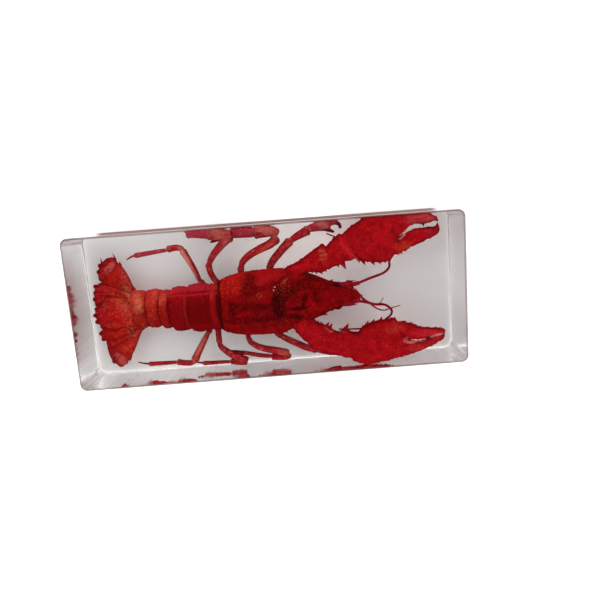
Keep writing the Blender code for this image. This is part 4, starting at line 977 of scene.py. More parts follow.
# For each piece: its outline seen from above, and its spines, each from its foot to its tip
CLAWS = {
    "claw_arm_left": {
        "outline": [
            (4.5, 5.2), (4.9, 7.3), (5.9, 8.2), (6.8, 8.6), (8.0, 9.0), (8.9, 9.4), (10.1, 10.1),
            (11.3, 11.0), (12.5, 11.8), (13.7, 12.6), (14.6, 13.1), (15.3, 13.6), (16.0, 13.6),
            (16.3, 12.5), (16.4, 10.8), (16.1, 9.1), (16.2, 7.6), (16.1, 6.6), (15.4, 6.3), (14.1, 6.6),
            (12.7, 6.6), (11.3, 6.5), (9.8, 5.9), (7.9, 4.5), (6.1, 3.4),
        ],
        "spines": [
            (5.8, 7.7, 5.7, 8.5), (8.5, 9.0, 8.4, 9.5), (14.4, 7.0, 15.6, 5.7), (13.4, 7.0, 14.1, 5.8),
            (12.4, 7.2, 12.9, 6.0), (11.3, 7.3, 11.5, 6.3),
        ],
    },
    "claw_wrist_left": {
        "outline": [
            (15.2, 12.6), (15.4, 13.5), (15.8, 14.0), (16.4, 13.9), (16.8, 13.4), (17.1, 13.3),
            (17.7, 13.8), (18.6, 14.8), (19.5, 15.5), (20.4, 16.2), (21.0, 16.5), (21.6, 16.2),
            (22.6, 15.4), (24.1, 13.2), (25.2, 11.1), (24.9, 9.9), (24.2, 9.4), (23.0, 9.2), (22.0, 9.1),
            (21.4, 8.4), (20.6, 8.2), (19.8, 8.3), (19.0, 8.0), (18.3, 7.7), (17.8, 7.2), (16.8, 7.0),
            (16.0, 6.7), (15.2, 7.4), (14.9, 9.1), (14.9, 10.8),
        ],
        "spines": [
            (19.9, 8.9, 20.3, 7.4), (21.2, 9.1, 22.2, 6.9), (15.9, 7.8, 16.8, 6.3),
            (15.7, 13.4, 15.5, 14.2), (16.4, 13.4, 16.4, 14.2), (20.6, 15.8, 21.1, 16.8),
            (17.2, 7.6, 17.4, 6.8),
        ],
    },
    "claw_palm_left": {
        "outline": [
            (21.6, 16.0), (22.1, 16.7), (23.2, 17.6), (24.7, 18.7), (25.5, 19.0), (26.4, 19.6),
            (27.4, 20.4), (28.3, 20.9), (29.3, 20.9), (31.6, 20.9), (34.1, 20.9), (36.9, 20.9),
            (39.7, 20.9), (42.5, 20.9), (45.0, 20.9), (46.4, 20.6), (47.5, 19.9), (48.4, 19.2),
            (48.6, 18.7), (47.7, 18.7), (46.6, 18.5), (45.1, 18.1), (44.0, 18.1), (42.6, 18.3),
            (41.2, 18.0), (40.3, 17.5), (39.6, 16.8), (39.2, 16.2), (38.6, 15.8), (37.8, 15.5),
            (37.3, 14.8), (37.2, 13.6), (37.4, 11.9), (36.7, 10.6), (35.6, 9.8), (35.2, 8.9), (34.4, 8.5),
            (33.1, 8.3), (31.4, 8.4), (29.7, 8.5), (28.1, 8.8), (26.7, 9.3), (25.6, 10.0), (24.7, 11.2),
            (23.5, 12.9), (22.4, 14.7),
        ],
        "spines": [
            (25.6, 10.1, 26.2, 8.4), (27.0, 9.4, 27.7, 7.7), (29.4, 9.3, 30.3, 7.5), (31.3, 9.1, 32.2, 7.6),
            (32.9, 9.0, 33.6, 7.8), (34.3, 9.2, 35.0, 8.3), (44.5, 18.6, 44.7, 17.3),
            (47.9, 19.5, 48.8, 18.4), (24.4, 18.2, 25.1, 19.0), (25.8, 19.0, 26.4, 19.8),
            (22.9, 16.9, 23.2, 17.7),
        ],
    },
    "claw_finger_left": {
        "outline": [
            (36.3, 12.3), (37.1, 14.2), (37.9, 14.9), (38.8, 15.3), (39.5, 15.5), (40.0, 15.7),
            (40.6, 15.9), (41.4, 16.2), (42.6, 16.7), (44.8, 16.7), (46.8, 16.7), (47.9, 16.8),
            (48.5, 17.2), (48.8, 16.9), (48.9, 16.1), (48.5, 15.2), (47.6, 14.5), (46.4, 14.1),
            (44.7, 13.5), (43.3, 13.0), (42.1, 12.6), (40.7, 11.9), (39.5, 11.3), (38.4, 10.9),
            (37.5, 10.4), (36.8, 10.1), (36.1, 10.2), (35.8, 10.9),
        ],
        "spines": [
            (36.7, 11.0, 37.4, 9.7), (37.6, 11.0, 38.4, 10.0), (38.6, 11.4, 39.5, 10.6),
            (39.6, 11.9, 40.5, 11.3), (40.8, 12.4, 41.7, 11.9), (42.2, 12.9, 43.0, 12.6),
            (48.5, 16.6, 48.7, 17.9),
        ],
    },
    "claw_arm_right": {
        "outline": [
            (4.7, -7.0), (7.2, -5.6), (9.8, -5.8), (12.1, -7.7), (13.1, -8.6), (14.2, -9.2), (15.3, -9.7),
            (16.4, -10.2), (17.0, -10.7), (16.8, -12.2), (16.3, -14.3), (15.5, -16.4), (14.3, -17.1),
            (12.5, -16.6), (11.1, -15.9), (10.3, -14.8), (9.1, -13.5), (8.0, -12.4), (6.9, -10.9),
            (5.4, -8.9),
        ],
        "spines": [
            (12.8, -9.1, 13.6, -8.2), (13.8, -9.5, 14.5, -8.5), (14.4, -9.9, 15.0, -9.0),
            (15.4, -10.2, 16.5, -8.8), (16.4, -10.7, 17.4, -9.2), (8.7, -12.8, 7.9, -12.6),
            (9.8, -13.7, 9.1, -13.8), (10.8, -14.5, 10.1, -14.8),
        ],
    },
    "claw_wrist_right": {
        "outline": [
            (15.4, -10.6), (16.2, -10.2), (17.0, -10.6), (18.1, -11.3), (19.2, -11.5), (20.4, -11.2),
            (21.1, -10.9), (21.8, -11.3), (22.5, -11.7), (23.8, -11.9), (25.1, -12.1), (26.3, -13.1),
            (26.5, -15.8), (25.1, -18.9), (23.6, -20.1), (22.1, -19.2), (20.5, -19.1), (19.4, -18.6),
            (18.0, -18.0), (16.5, -17.9), (15.4, -17.6), (14.4, -17.0), (14.3, -15.1), (14.8, -12.7),
        ],
        "spines": [
            (20.8, -11.4, 22.0, -9.4), (16.0, -10.9, 16.4, -9.9), (16.4, -17.5, 15.8, -18.2),
            (16.9, -17.5, 16.5, -18.4), (17.4, -17.5, 17.0, -18.2),
        ],
    },
    "claw_palm_right": {
        "outline": [
            (24.5, -12.6), (25.3, -11.4), (25.9, -10.8), (26.6, -10.4), (27.3, -9.9), (28.2, -9.5),
            (29.4, -9.2), (30.9, -8.9), (32.0, -8.7), (33.2, -8.8), (34.1, -8.6), (35.1, -8.5),
            (35.6, -8.9), (35.9, -9.7), (36.3, -11.3), (37.1, -12.9), (38.1, -14.5), (39.0, -15.1),
            (39.8, -15.4), (41.3, -15.8), (42.8, -15.8), (44.5, -15.4), (46.0, -15.0), (47.7, -14.7),
            (49.2, -14.5), (49.5, -14.8), (49.0, -15.4), (47.7, -16.2), (46.2, -17.0), (44.4, -17.8),
            (42.4, -18.5), (39.4, -19.2), (36.5, -19.9), (33.5, -20.4), (31.7, -20.8), (29.4, -21.1),
            (27.9, -21.3), (25.9, -21.2), (24.4, -20.8), (23.2, -20.2), (22.4, -18.9), (22.8, -15.9),
            (23.7, -13.7),
        ],
        "spines": [
            (26.3, -11.0, 26.1, -9.9), (27.1, -10.5, 27.7, -8.8), (28.7, -10.0, 29.5, -8.4),
            (30.9, -9.6, 31.7, -7.9), (34.6, -9.4, 35.6, -8.2), (32.9, -9.3, 33.4, -8.5),
        ],
    },
    "claw_finger_right": {
        "outline": [
            (34.9, -10.2), (35.6, -9.7), (36.9, -9.7), (38.2, -9.8), (39.1, -10.3), (40.1, -10.5),
            (40.9, -11.0), (41.9, -11.5), (42.9, -11.8), (44.6, -12.1), (46.1, -12.3), (47.8, -12.4),
            (49.0, -12.7), (49.5, -13.1), (49.6, -13.7), (49.2, -13.8), (47.8, -14.0), (46.0, -14.4),
            (44.5, -14.7), (42.8, -14.9), (41.3, -14.9), (40.2, -14.8), (39.0, -14.5), (37.6, -13.9),
            (36.5, -12.8), (35.7, -11.7),
        ],
        "spines": [
            (37.6, -10.2, 38.6, -9.5), (39.3, -10.7, 40.4, -10.1), (40.9, -11.2, 41.7, -10.9),
            (42.5, -11.8, 43.2, -11.6), (44.1, -12.2, 44.7, -12.0), (49.3, -13.1, 49.6, -14.5),
        ],
    },
}
# Furrows and ridges along the palms and fingers: depth and width, then the line
CLAW_LINES = {
    "claw_palm_left": [
        (0.3, 0.4, [(37.8, 19.2), (42.0, 19.3), (46.6, 19.5)]),
        (-0.25, 0.5, [(26.0, 15.0), (31.0, 15.4), (36.0, 15.6)]),
    ],
    "claw_finger_left": [(0.3, 0.35, [(39.4, 13.2), (43.0, 14.9), (47.2, 15.8)])],
    "claw_palm_right": [
        (0.3, 0.4, [(38.6, -17.2), (42.0, -16.8), (46.6, -15.7)]),
        (-0.25, 0.5, [(27.0, -15.4), (32.0, -15.0), (36.0, -14.8)]),
    ],
    "claw_finger_right": [(0.3, 0.35, [(39.4, -12.2), (43.0, -12.8), (47.2, -13.2)])],
}
# The fields of colour on the claws: place, half sizes, turn, strength and shade. The palest pink ones are
# painted glints and painted bright slits between the fingers, and one brighter red field is painted light over
# the crease between the left wrist and palm
CLAW_BLOTS_AND_GLINTS = [
    (38.0, 12.4, 2.2, 1.2, 10, 0.45, 204, 66, 44), (36.4, -11.4, 1.5, 1.1, 0, 0.4, 196, 60, 44),
    (44.6, 19.4, 5.2, 1.6, 0, 0.75, 190, 66, 74), (47.0, 16.0, 2.6, 1.2, 10, 0.6, 160, 36, 46),
    (46.0, -16.0, 4.2, 1.6, 14, 0.5, 168, 36, 46), (44.6, -13.2, 4.6, 1.2, -8, 0.6, 204, 44, 56),
    (15.9, 10.8, 0.9, 2.5, 4, 0.3, 190, 70, 62), (15.8, 12.4, 0.9, 0.4, -14, 0.35, 208, 104, 86),
    (16.1, 11.3, 1.0, 0.4, 4, 0.4, 206, 96, 82), (15.9, 10.1, 1.0, 0.4, 10, 0.35, 204, 92, 80),
    (5.4, 5.6, 2.4, 2.6, 30, 0.5, 140, 14, 20), (15.9, -10.4, 1.3, 0.3, -42, 0.3, 206, 118, 116),
    (17.4, -11.0, 0.8, 0.3, 20, 0.4, 206, 122, 120), (19.7, -11.3, 1.4, 0.16, -4, 0.5, 214, 140, 138),
    (38.1, -14.8, 0.9, 0.7, 50, 0.6, 222, 120, 112), (41.3, -15.5, 2.9, 0.4, 3, 0.75, 232, 150, 142),
    (47.2, -14.3, 2.2, 0.35, 14, 0.8, 232, 150, 146), (34.2, -11.0, 2.2, 1.4, 10, 0.25, 200, 70, 56),
    (38.6, 15.4, 1.7, 0.5, 42, 0.8, 238, 150, 140), (25.3, 9.5, 1.1, 0.25, -60, 0.8, 222, 130, 120),
    (22.9, 13.0, 4.4, 1.0, -60, 0.6, 214, 40, 46), (40.6, -17.4, 2.6, 0.9, 0, 0.4, 196, 60, 62),
    (38.8, 11.0, 2.0, 0.4, 32, 0.5, 206, 88, 66),
]
# Joints, where no dark rim shows: place and reach
CLAW_JOINTS = [
    (23.4, 13.2, 2.6), (15.9, 10.2, 2.4), (15.8, -13.8, 3.0), (23.6, -16.0, 3.6), (36.6, 11.9, 1.6),
    (35.8, -10.8, 1.6), (41.0, -15.2, 3.0), (47.0, -14.4, 1.6), (40.6, 16.6, 2.6),
]
claw_x, claw_middle, claw_half = zip(*CLAW_HEIGHTS)


def swollen(name, outline):
    """A body with this outline seen from above, that swells up and down from the claw's middle height."""
    line = curve_through(outline + outline[:1], 0.3)[:-1]
    piece = sheet(name, line, 0.0, 1.0)
    melted(piece, CLAW_VOXEL)
    places, _ = skin(piece)
    along = places[:, 0] / MM
    middle, reach = np.interp(along, claw_x, claw_middle), np.interp(along, claw_x, claw_half)
    inwards = np.clip(distance_to(line + line[:1], places) / MM / (reach * 1.3), 0, 1)
    rise = reach * np.sqrt(1 - (1 - inwards) ** 2) + 0.1
    places[:, 2] = (middle + np.clip(places[:, 2] / (0.5 * MM), -1, 1) * rise) * MM
    move_skin(piece, places)
    return piece, line


def claw_spines(spines):
    """The comb of spines along a claw's edge, with the shorter ones that stand up behind them."""
    parts = []
    for foot_x, foot_y, tip_x, tip_y in spines:
        height = float(np.interp(foot_x, claw_x, claw_middle))
        long = math.dist((foot_x, foot_y), (tip_x, tip_y))
        out_x, out_y = foot_x + (tip_x - foot_x) * SPINE_STRETCH, foot_y + (tip_y - foot_y) * SPINE_STRETCH
        parts.append(cone((foot_x, foot_y, height), (out_x, out_y, height), 0.42 + 0.24 * long))
        if foot_x < UPPER_SPINES_END:
            root_x, root_y = foot_x * 1.5 - tip_x * 0.5, foot_y * 1.5 - tip_y * 0.5
            parts.append(cone((root_x, root_y, height + 1.1), (root_x + 0.5, root_y - 0.2, height + 2.6), 0.4))
    return parts


claws = []
for seed, (node, form) in enumerate(CLAWS.items()):
    piece, line = swollen(node + "_shell", form["outline"])
    fused(piece, CLAW_VOXEL, 3)
    places, normals = skin(piece)
    move_skin(piece, places + normals * (CLAW_GROWTH * MM))
    for depth, width, furrow in CLAW_LINES.get(node, []):
        score(piece, furrow, depth, width)
        score(piece, furrow, depth * 0.7, width, facing=-1.0)
    size = max(piece.dimensions) / MM
    granulate(piece, int(130 * size), 0.34, 0.15, 70 + seed)
    granulate(piece, int(30 * size), 0.6, 0.22, 90 + seed, lambda place, normal: normal[2] > 0.1)
    join(piece, claw_spines(form["spines"]))
    places, _ = skin(piece)
    places[:, 1] = np.clip(places[:, 1], CLAW_ROOM[0] * MM, CLAW_ROOM[1] * MM)
    move_skin(piece, places)
    keep_distance(piece, line)
    only(piece)
    bpy.ops.object.shade_smooth()
    claws.append((piece, node))

claw = Finish("claw_finish", 0.6, Specular_IOR_Level=0.0)
fine = claw.noise(0.4)
claw.cloud(2.2, 0.34, 0.66, (180, 23, 31), (158, 18, 25))
# Lays the claws' colour fields, with the painted glints, bright slits and light over the crease among them
claw.lay_blots(CLAW_BLOTS_AND_GLINTS, claw.noise(1.5) * 1.2 - 0.6)
claw.lay(claw.dots(0.8, 0.34, 0.12) * claw.patches(1.6, 0.4, 0.6) * 0.5, 206, 70, 70)
claw.lay(claw.patches(0.7, 0.52, 0.68, 3.0) * 0.45, 120, 8, 16)
claw.lay(claw.dots(0.6, 0.6, 0.8) * 0.2, 104, 6, 13)
dark = claw.step(claw.mark("rim"), 0.55, 0.05) * 0.6
for x, y, reach in CLAW_JOINTS:
    dark = dark * (1.0 - claw.spot(x, y, reach, 0.4))
claw.lay(dark, 92, 6, 17)
claw.complete(fine * 0.2 + 0.5, fine - claw.cells(0.35) * 0.8, 0.05)
for piece, node in claws:
    add_painted(piece, claw, "claws", node)

# The walking legs have five or six thin joints each, every one slipped into the mouth of the one before. The
# first two pairs end in small pincers, the last two in single claws. They are pale inside the thigh and violet
# at the end.
LEG_VOXEL = 0.13 * MM
# Along a joint: the share of its length, and its thickness there as a share of the radius
JOINT_PROFILE = [
    (0.0, 0.4), (0.03, 0.75), (0.12, 0.88), (0.3, 0.96), (0.6, 1.0), (0.85, 1.02), (0.92, 1.12),
    (0.965, 1.02), (0.99, 0.74), (1.0, 0.4),
]
# Each leg, from the body out: its joints as (points the joint runs through, radius at its root, at its mouth)
LEGS = {
    "leg_1_left": [
        ([(-1.0, 3.8, 8.0), (-0.4, 5.6, 8.3), (0.0, 7.2, 8.8)], 1.1, 1.1),
        (
            [(-0.1, 6.8, 8.6), (1.3, 9.7, 9.4), (3.6, 12.3, 10.2), (5.5, 14.2, 10.8), (7.3, 15.8, 11.2)],
            1.15, 1.3,
        ),
        ([(7.0, 15.5, 11.2), (8.8, 16.6, 11.4), (10.9, 17.6, 11.4), (12.7, 18.4, 11.2)], 1.0, 1.4),
        ([(12.4, 18.6, 11.2), (14.5, 19.0, 10.9), (16.9, 19.1, 10.6), (19.0, 18.9, 10.3)], 1.3, 1.55),
        ([(18.2, 19.6, 10.4), (20.2, 19.9, 10.2), (21.5, 19.3, 9.9), (22.0, 18.0, 9.6)], 1.0, 0.4),
        ([(17.4, 18.2, 10.3), (19.0, 17.6, 10.1), (20.0, 17.1, 10.0)], 0.8, 0.35),
    ],
    "leg_2_left": [
        ([(-7.6, 3.7, 7.5), (-8.1, 6.5, 8.0), (-8.0, 9.0, 8.7)], 1.0, 0.95),
        (
            [
                (-8.1, 8.4, 8.6), (-7.2, 10.5, 9.2), (-4.9, 12.4, 9.9), (-1.8, 13.9, 10.5),
                (1.2, 15.1, 11.0), (3.6, 16.9, 11.5),
            ],
            1.05, 1.4,
        ),
        ([(3.8, 17.8, 11.6), (2.4, 18.7, 11.4), (0.0, 18.8, 10.9), (-3.1, 18.9, 10.2)], 1.4, 1.95),
        ([(-2.8, 18.8, 10.3), (-5.8, 18.9, 9.7), (-8.4, 18.9, 9.1), (-10.2, 18.9, 8.7)], 1.7, 1.35),
        ([(-9.7, 19.0, 8.7), (-12.6, 18.6, 7.8), (-15.1, 17.9, 7.0), (-17.1, 17.6, 6.6)], 0.75, 0.28),
        ([(-9.8, 18.3, 8.4), (-12.8, 17.5, 7.4), (-15.2, 16.9, 6.9), (-16.5, 16.7, 6.7)], 0.65, 0.25),
    ],
    "leg_3_left": [
        ([(-13.0, 2.6, 7.4), (-15.4, 4.8, 7.6), (-17.0, 7.6, 7.8), (-17.4, 10.8, 8.7)], 0.95, 0.9),
        (
            [
                (-17.3, 10.3, 8.6), (-15.9, 12.7, 9.4), (-13.3, 15.5, 10.4), (-11.4, 17.1, 11.0),
                (-9.7, 18.2, 11.6),
            ],
            1.0, 1.3,
        ),
        ([(-9.5, 18.8, 11.7), (-11.2, 18.8, 11.3), (-13.2, 18.9, 10.9), (-15.6, 19.0, 10.3)], 1.45, 1.9),
        ([(-15.1, 19.0, 10.4), (-17.3, 19.3, 9.9), (-20.2, 19.6, 9.4), (-22.9, 19.6, 9.0)], 1.6, 1.05),
        ([(-22.3, 20.3, 9.0), (-23.3, 20.5, 9.0), (-24.2, 20.6, 9.0)], 0.5, 0.22),
    ],
    "leg_4_left": [
        ([(-15.2, 0.5, 5.2), (-18.6, 2.8, 5.1), (-20.5, 5.6, 6.2)], 0.9, 0.85),
        ([(-20.4, 4.8, 6.0), (-21.7, 9.0, 7.6), (-23.0, 12.2, 8.9), (-24.4, 15.4, 10.1)], 0.8, 1.0),
        ([(-24.0, 15.5, 10.2), (-25.5, 16.0, 10.1), (-27.0, 16.0, 9.8), (-28.7, 15.7, 9.4)], 0.95, 0.95),
        ([(-28.3, 15.6, 9.4), (-31.6, 15.3, 8.7), (-35.3, 14.9, 7.8), (-38.9, 14.5, 7.0)], 0.65, 0.75),
        ([(-38.5, 14.6, 7.0), (-39.9, 14.2, 6.7), (-41.4, 13.4, 6.4)], 0.45, 0.18),
    ],
    "leg_1_right": [
        ([(-0.6, -8.6, 8.0), (1.0, -11.4, 8.5), (2.4, -12.7, 9.1)], 1.1, 1.05),
        (
            [
                (1.9, -12.4, 9.0), (3.9, -13.7, 9.3), (6.5, -15.1, 9.6), (9.4, -16.6, 9.8),
                (12.9, -17.7, 10.0),
            ],
            1.05, 1.05,
        ),
        ([(12.5, -17.6, 10.0), (14.7, -18.2, 10.0), (17.0, -18.6, 10.0), (19.6, -18.7, 10.0)], 0.95, 1.2),
        ([(19.4, -18.6, 10.0), (22.6, -18.4, 9.9), (27.4, -18.0, 9.6)], 1.05, 1.3),
        ([(27.0, -18.5, 9.5), (29.4, -18.4, 9.2), (31.8, -17.7, 9.0)], 0.65, 0.28),
        ([(27.0, -17.3, 9.6), (29.4, -17.0, 9.4), (31.2, -16.9, 9.2)], 0.55, 0.25),
    ],
    "leg_2_right": [
        ([(-7.6, -8.8, 7.5), (-8.1, -11.2, 8.4)], 1.0, 0.9),
        (
            [
                (-7.9, -10.8, 8.4), (-7.3, -13.5, 9.0), (-5.6, -14.9, 9.6), (-2.9, -16.0, 10.3),
                (0.3, -16.7, 10.9), (4.2, -18.0, 11.2),
            ],
            0.85, 1.25,
        ),
        ([(4.6, -18.6, 10.6), (2.5, -19.1, 9.6), (-1.1, -18.9, 8.8)], 1.05, 1.05),
        ([(-0.8, -18.8, 8.8), (-4.7, -18.2, 8.4), (-8.3, -17.4, 8.0), (-10.6, -17.0, 7.8)], 0.75, 0.65),
        ([(-10.3, -17.2, 7.8), (-12.1, -17.1, 7.6), (-13.7, -17.0, 7.5)], 0.42, 0.2),
        ([(-10.3, -16.7, 7.8), (-12.1, -16.4, 7.6), (-13.4, -16.2, 7.6)], 0.38, 0.18),
    ],
    "leg_3_right": [
        ([(-14.6, -6.4, 7.3), (-16.3, -8.4, 7.6), (-16.5, -10.7, 8.2), (-16.4, -13.4, 9.4)], 0.95, 0.85),
        (
            [
                (-16.5, -12.7, 9.4), (-16.0, -14.4, 9.8), (-13.8, -16.3, 10.4), (-11.2, -17.9, 10.9),
                (-8.4, -19.5, 11.0),
            ],
            0.85, 1.4,
        ),
        ([(-8.7, -19.9, 10.0), (-10.9, -19.9, 8.8), (-13.6, -19.5, 8.0)], 0.95, 0.9),
        ([(-13.3, -19.6, 8.0), (-16.4, -19.6, 7.7), (-19.4, -19.6, 7.4), (-22.2, -19.6, 7.1)], 0.62, 0.7),
        ([(-21.9, -19.6, 7.1), (-23.1, -19.3, 7.0), (-24.2, -19.2, 6.8)], 0.45, 0.2),
    ],
    "leg_4_right": [
        ([(-14.9, -3.9, 5.2), (-18.2, -7.6, 5.1), (-19.7, -10.5, 6.0)], 0.9, 0.85),
        ([(-19.4, -9.8, 6.2), (-21.1, -12.6, 7.6), (-22.8, -15.4, 9.0), (-24.3, -18.1, 10.1)], 0.85, 1.15),
        ([(-23.9, -18.1, 10.1), (-25.4, -18.6, 10.0), (-27.6, -18.5, 9.6), (-29.5, -18.1, 9.3)], 0.9, 0.95),
        ([(-29.1, -18.2, 9.3), (-32.5, -18.3, 8.6), (-35.6, -18.4, 7.8), (-38.5, -18.5, 7.0)], 0.62, 0.7),
        ([(-38.2, -18.5, 7.0), (-40.0, -18.2, 6.7), (-41.8, -17.7, 6.4)], 0.42, 0.16),
    ],
}
# Pale fields on the legs: place, half sizes, turn, strength and shade
LEG_BLOTS = [
    (-23.1, 10.9, 5.5, 0.7, -72, 0.85, 214, 134, 120), (-29.7, 16.8, 4.1, 0.4, -4, 0.5, 176, 74, 80),
    (-14.1, 19.7, 4.3, 1.4, -42, 0.7, 176, 92, 84), (-12.5, 21.3, 3.3, 0.9, -40, 0.5, 180, 96, 90),
    (-0.4, 20.1, 4.5, 1.6, -33, 0.75, 182, 100, 88), (15.0, 21.4, 3.6, 1.3, -46, 0.7, 178, 104, 98),
    (-13.2, 14.2, 4.4, 0.5, 53, 0.5, 190, 90, 88), (-2.3, 12.4, 5.8, 0.7, 38, 0.7, 204, 72, 56),
    (-19.9, -20.1, 4.1, 0.3, -24, 0.4, 180, 80, 84), (-22.2, -13.9, 4.2, 0.6, 60, 0.8, 210, 110, 92),
    (-19.4, -16.5, 2.3, 0.7, 25, 0.6, 196, 112, 92), (3.4, -17.4, 2.4, 0.8, -10, 0.6, 196, 96, 78),
]


def tubes(name, strands):
    """Closed round tubes as one mesh; a strand is a list of (place, radius) in millimetres."""
    curve = bpy.data.curves.new(name, "CURVE")
    curve.dimensions = "3D"
    curve.bevel_depth = MM
    curve.bevel_resolution = 3
    curve.use_fill_caps = True
    for strand in strands:
        spline = curve.splines.new("POLY")
        spline.points.add(len(strand) - 1)
        for point, (place, radius) in zip(spline.points, strand):
            point.co = (*at(*place), 1.0)
            point.radius = radius
    new_piece(name, curve)
    bpy.ops.object.convert(target="MESH")
    merge = (bpy.ops.mesh.remove_doubles, {"threshold": 0.001 * MM})
    return edited(bpy.context.active_object, merge, OUTWARDS)


def run_along(points, share):
    """The place at a share of the way along a smooth line through the points."""
    line = curve_through(points, 0.2)
    spot = share * (len(line) - 1)
    first = min(int(spot), len(line) - 2)
    return line[first].lerp(line[first + 1], spot - first)


def leg_joint(points, root, mouth):
    """One joint of a leg, as a tube with a narrow root, a full middle and a lip at its mouth."""
    strand = []
    for (near, thin), (far, thick) in zip(JOINT_PROFILE, JOINT_PROFILE[1:]):
        steps = max(int((far - near) * 12), 1)
        for step in range(steps):
            share = near + (far - near) * step / steps
            radius = root + (mouth - root) * share
            strand.append((run_along(points, share), radius * (thin + (thick - thin) * step / steps)))
    strand.append((run_along(points, 1.0), mouth * JOINT_PROFILE[-1][1]))
    return strand


def measure_along(piece, strands):
    """Notes on each point of a limb how far out it sits: the number of its joint, and the share along it."""
    marks = []
    for order, strand in enumerate(strands):
        marks += [(place, order + step / len(strand)) for step, (place, _) in enumerate(strand)]
    tree = nearest_finder([at(*place) for place, _ in marks])
    mark_points(piece, "reach", [marks[tree.find(vertex.co)[1]][1] for vertex in piece.data.vertices])


leg = Finish("leg_finish", 0.45, Specular_IOR_Level=0.0)
reach = leg.mark("reach")
top_light_facing = leg.at_point("Normal", "Z")
fine = leg.noise(0.4)
leg.cloud(1.3, 0.36, 0.66, (164, 27, 38), (134, 17, 30))
# Painted light: where the legs face up they are painted paler, in patches
leg.lay(leg.step(top_light_facing + fine * 0.4, 0.7, 1.1) * leg.patches(0.7, 0.4, 0.62) * 0.3, 192, 76, 74)
# The ends of the legs turn violet, mostly on the left
violet = leg.step(reach + fine * 0.3, 2.95, 3.3) * leg.step(leg.axis("Y"), -8.0, 6.0)
leg.lay(violet * 0.85, 168, 52, 68)
leg.lay_blots(LEG_BLOTS, leg.noise(0.8) * 1.4 - 0.7, 0.6)
leg.lay(leg.dots(0.5, 0.36, 0.16) * leg.step(reach, 2.6, 2.2) * 0.45, 214, 96, 84)
# Painted glints: pale streaks stand for light mirrored where the shell meets the resin
leg.lay(leg.patches(0.35, 0.58, 0.68, 3.0, (0.25, 0.25, 1.0)) * 0.4, 206, 122, 116)
# A pale lip at each mouth, dark claws at the end, and painted shade on the flanks: what faces sideways and down
# is darker
lip = leg.step(reach.calc("FRACT"), 0.86, 0.9) * leg.step(reach.calc("FRACT"), 0.97, 0.93)
leg.lay(lip * leg.step(reach, 1.0, 1.2) * 0.5, 206, 134, 124)
leg.lay(leg.step(reach, 4.1, 4.6) * 0.75, 84, 14, 30)
leg.lay(leg.step(top_light_facing + fine * 0.3, 0.95, 0.35) * 0.75, 104, 12, 26)
leg.complete(fine * 0.2 + 0.36, fine, 0.06)
for node, joints in LEGS.items():
    strands = [leg_joint(*joint) for joint in joints]
    piece = tubes(node + "_shell", strands)
    fused(piece, LEG_VOXEL)
    measure_along(piece, strands)
    add_painted(piece, leg, "legs", node)

# The feelers are horn threads of many short rings. The long pair grows from three stout joints with a leaf-like
# scale beside them, the short pair from under the rostrum.
FEELER_RING = 0.5
RING_SWELL = 0.12
# Each feeler: its stout joints as (from, to, radius), then the thread's points and its radius at root and tip
FEELERS = {
    "antenna_left": (
        [
            ((17.0, 2.0, 12.0), (20.8, 1.6, 13.0), 1.25),
            ((20.4, 1.6, 13.0), (23.4, 1.5, 13.5), 1.0),
            ((23.0, 1.5, 13.5), (26.2, 2.1, 13.9), 0.7),
        ],
        [
            (25.6, 1.95, 13.8), (27.2, 2.5, 13.9), (29.3, 3.2, 13.8), (33.1, 4.3, 13.5), (34.8, 5.5, 13.2),
            (35.3, 7.0, 12.9), (34.4, 9.2, 12.7), (29.9, 12.2, 12.4), (24.3, 14.6, 12.2),
            (20.2, 15.8, 12.0), (17.6, 17.0, 12.6),
        ],
        0.42, 0.2,
    ),
    "antenna_right": (
        [
            ((17.0, -4.6, 12.0), (20.8, -3.8, 13.0), 1.25),
            ((20.4, -3.8, 13.0), (23.0, -3.2, 13.5), 1.0),
            ((22.8, -3.2, 13.5), (25.6, -3.3, 13.8), 0.7),
        ],
        [
            (25.4, -3.3, 13.8), (27.2, -3.6, 13.9), (30.4, -4.6, 13.8), (33.1, -4.9, 13.5),
            (34.9, -6.2, 13.2), (35.3, -7.7, 12.9), (33.9, -9.2, 12.7), (30.2, -11.3, 12.4),
            (26.1, -11.8, 12.2), (22.5, -11.7, 12.1), (19.4, -11.5, 11.9),
        ],
        0.42, 0.2,
    ),
    "antennule_left": (
        [((19.6, -0.4, 13.4), (24.6, -0.1, 14.2), 1.5), ((22.0, 0.6, 13.6), (24.0, 1.0, 14.0), 1.2)],
        [
            (25.3, -0.4, 14.4), (26.7, -2.2, 14.4), (28.6, -3.7, 14.4), (30.9, -4.5, 14.4),
            (32.1, -4.0, 14.4), (32.9, -2.7, 14.4),
        ],
        0.3, 0.12,
    ),
    "antennule_right": (
        [((19.6, -2.4, 13.4), (26.2, -2.4, 14.2), 1.5)],
        [
            (24.4, 0.2, 14.2), (24.9, 0.1, 14.6), (25.8, -1.1, 15.0), (26.9, -2.6, 15.0),
            (28.9, -4.1, 15.0), (30.8, -5.7, 15.0), (32.8, -6.4, 15.0), (34.6, -6.0, 15.0),
            (37.6, -5.3, 15.0),
        ],
        0.36, 0.14,
    ),
}
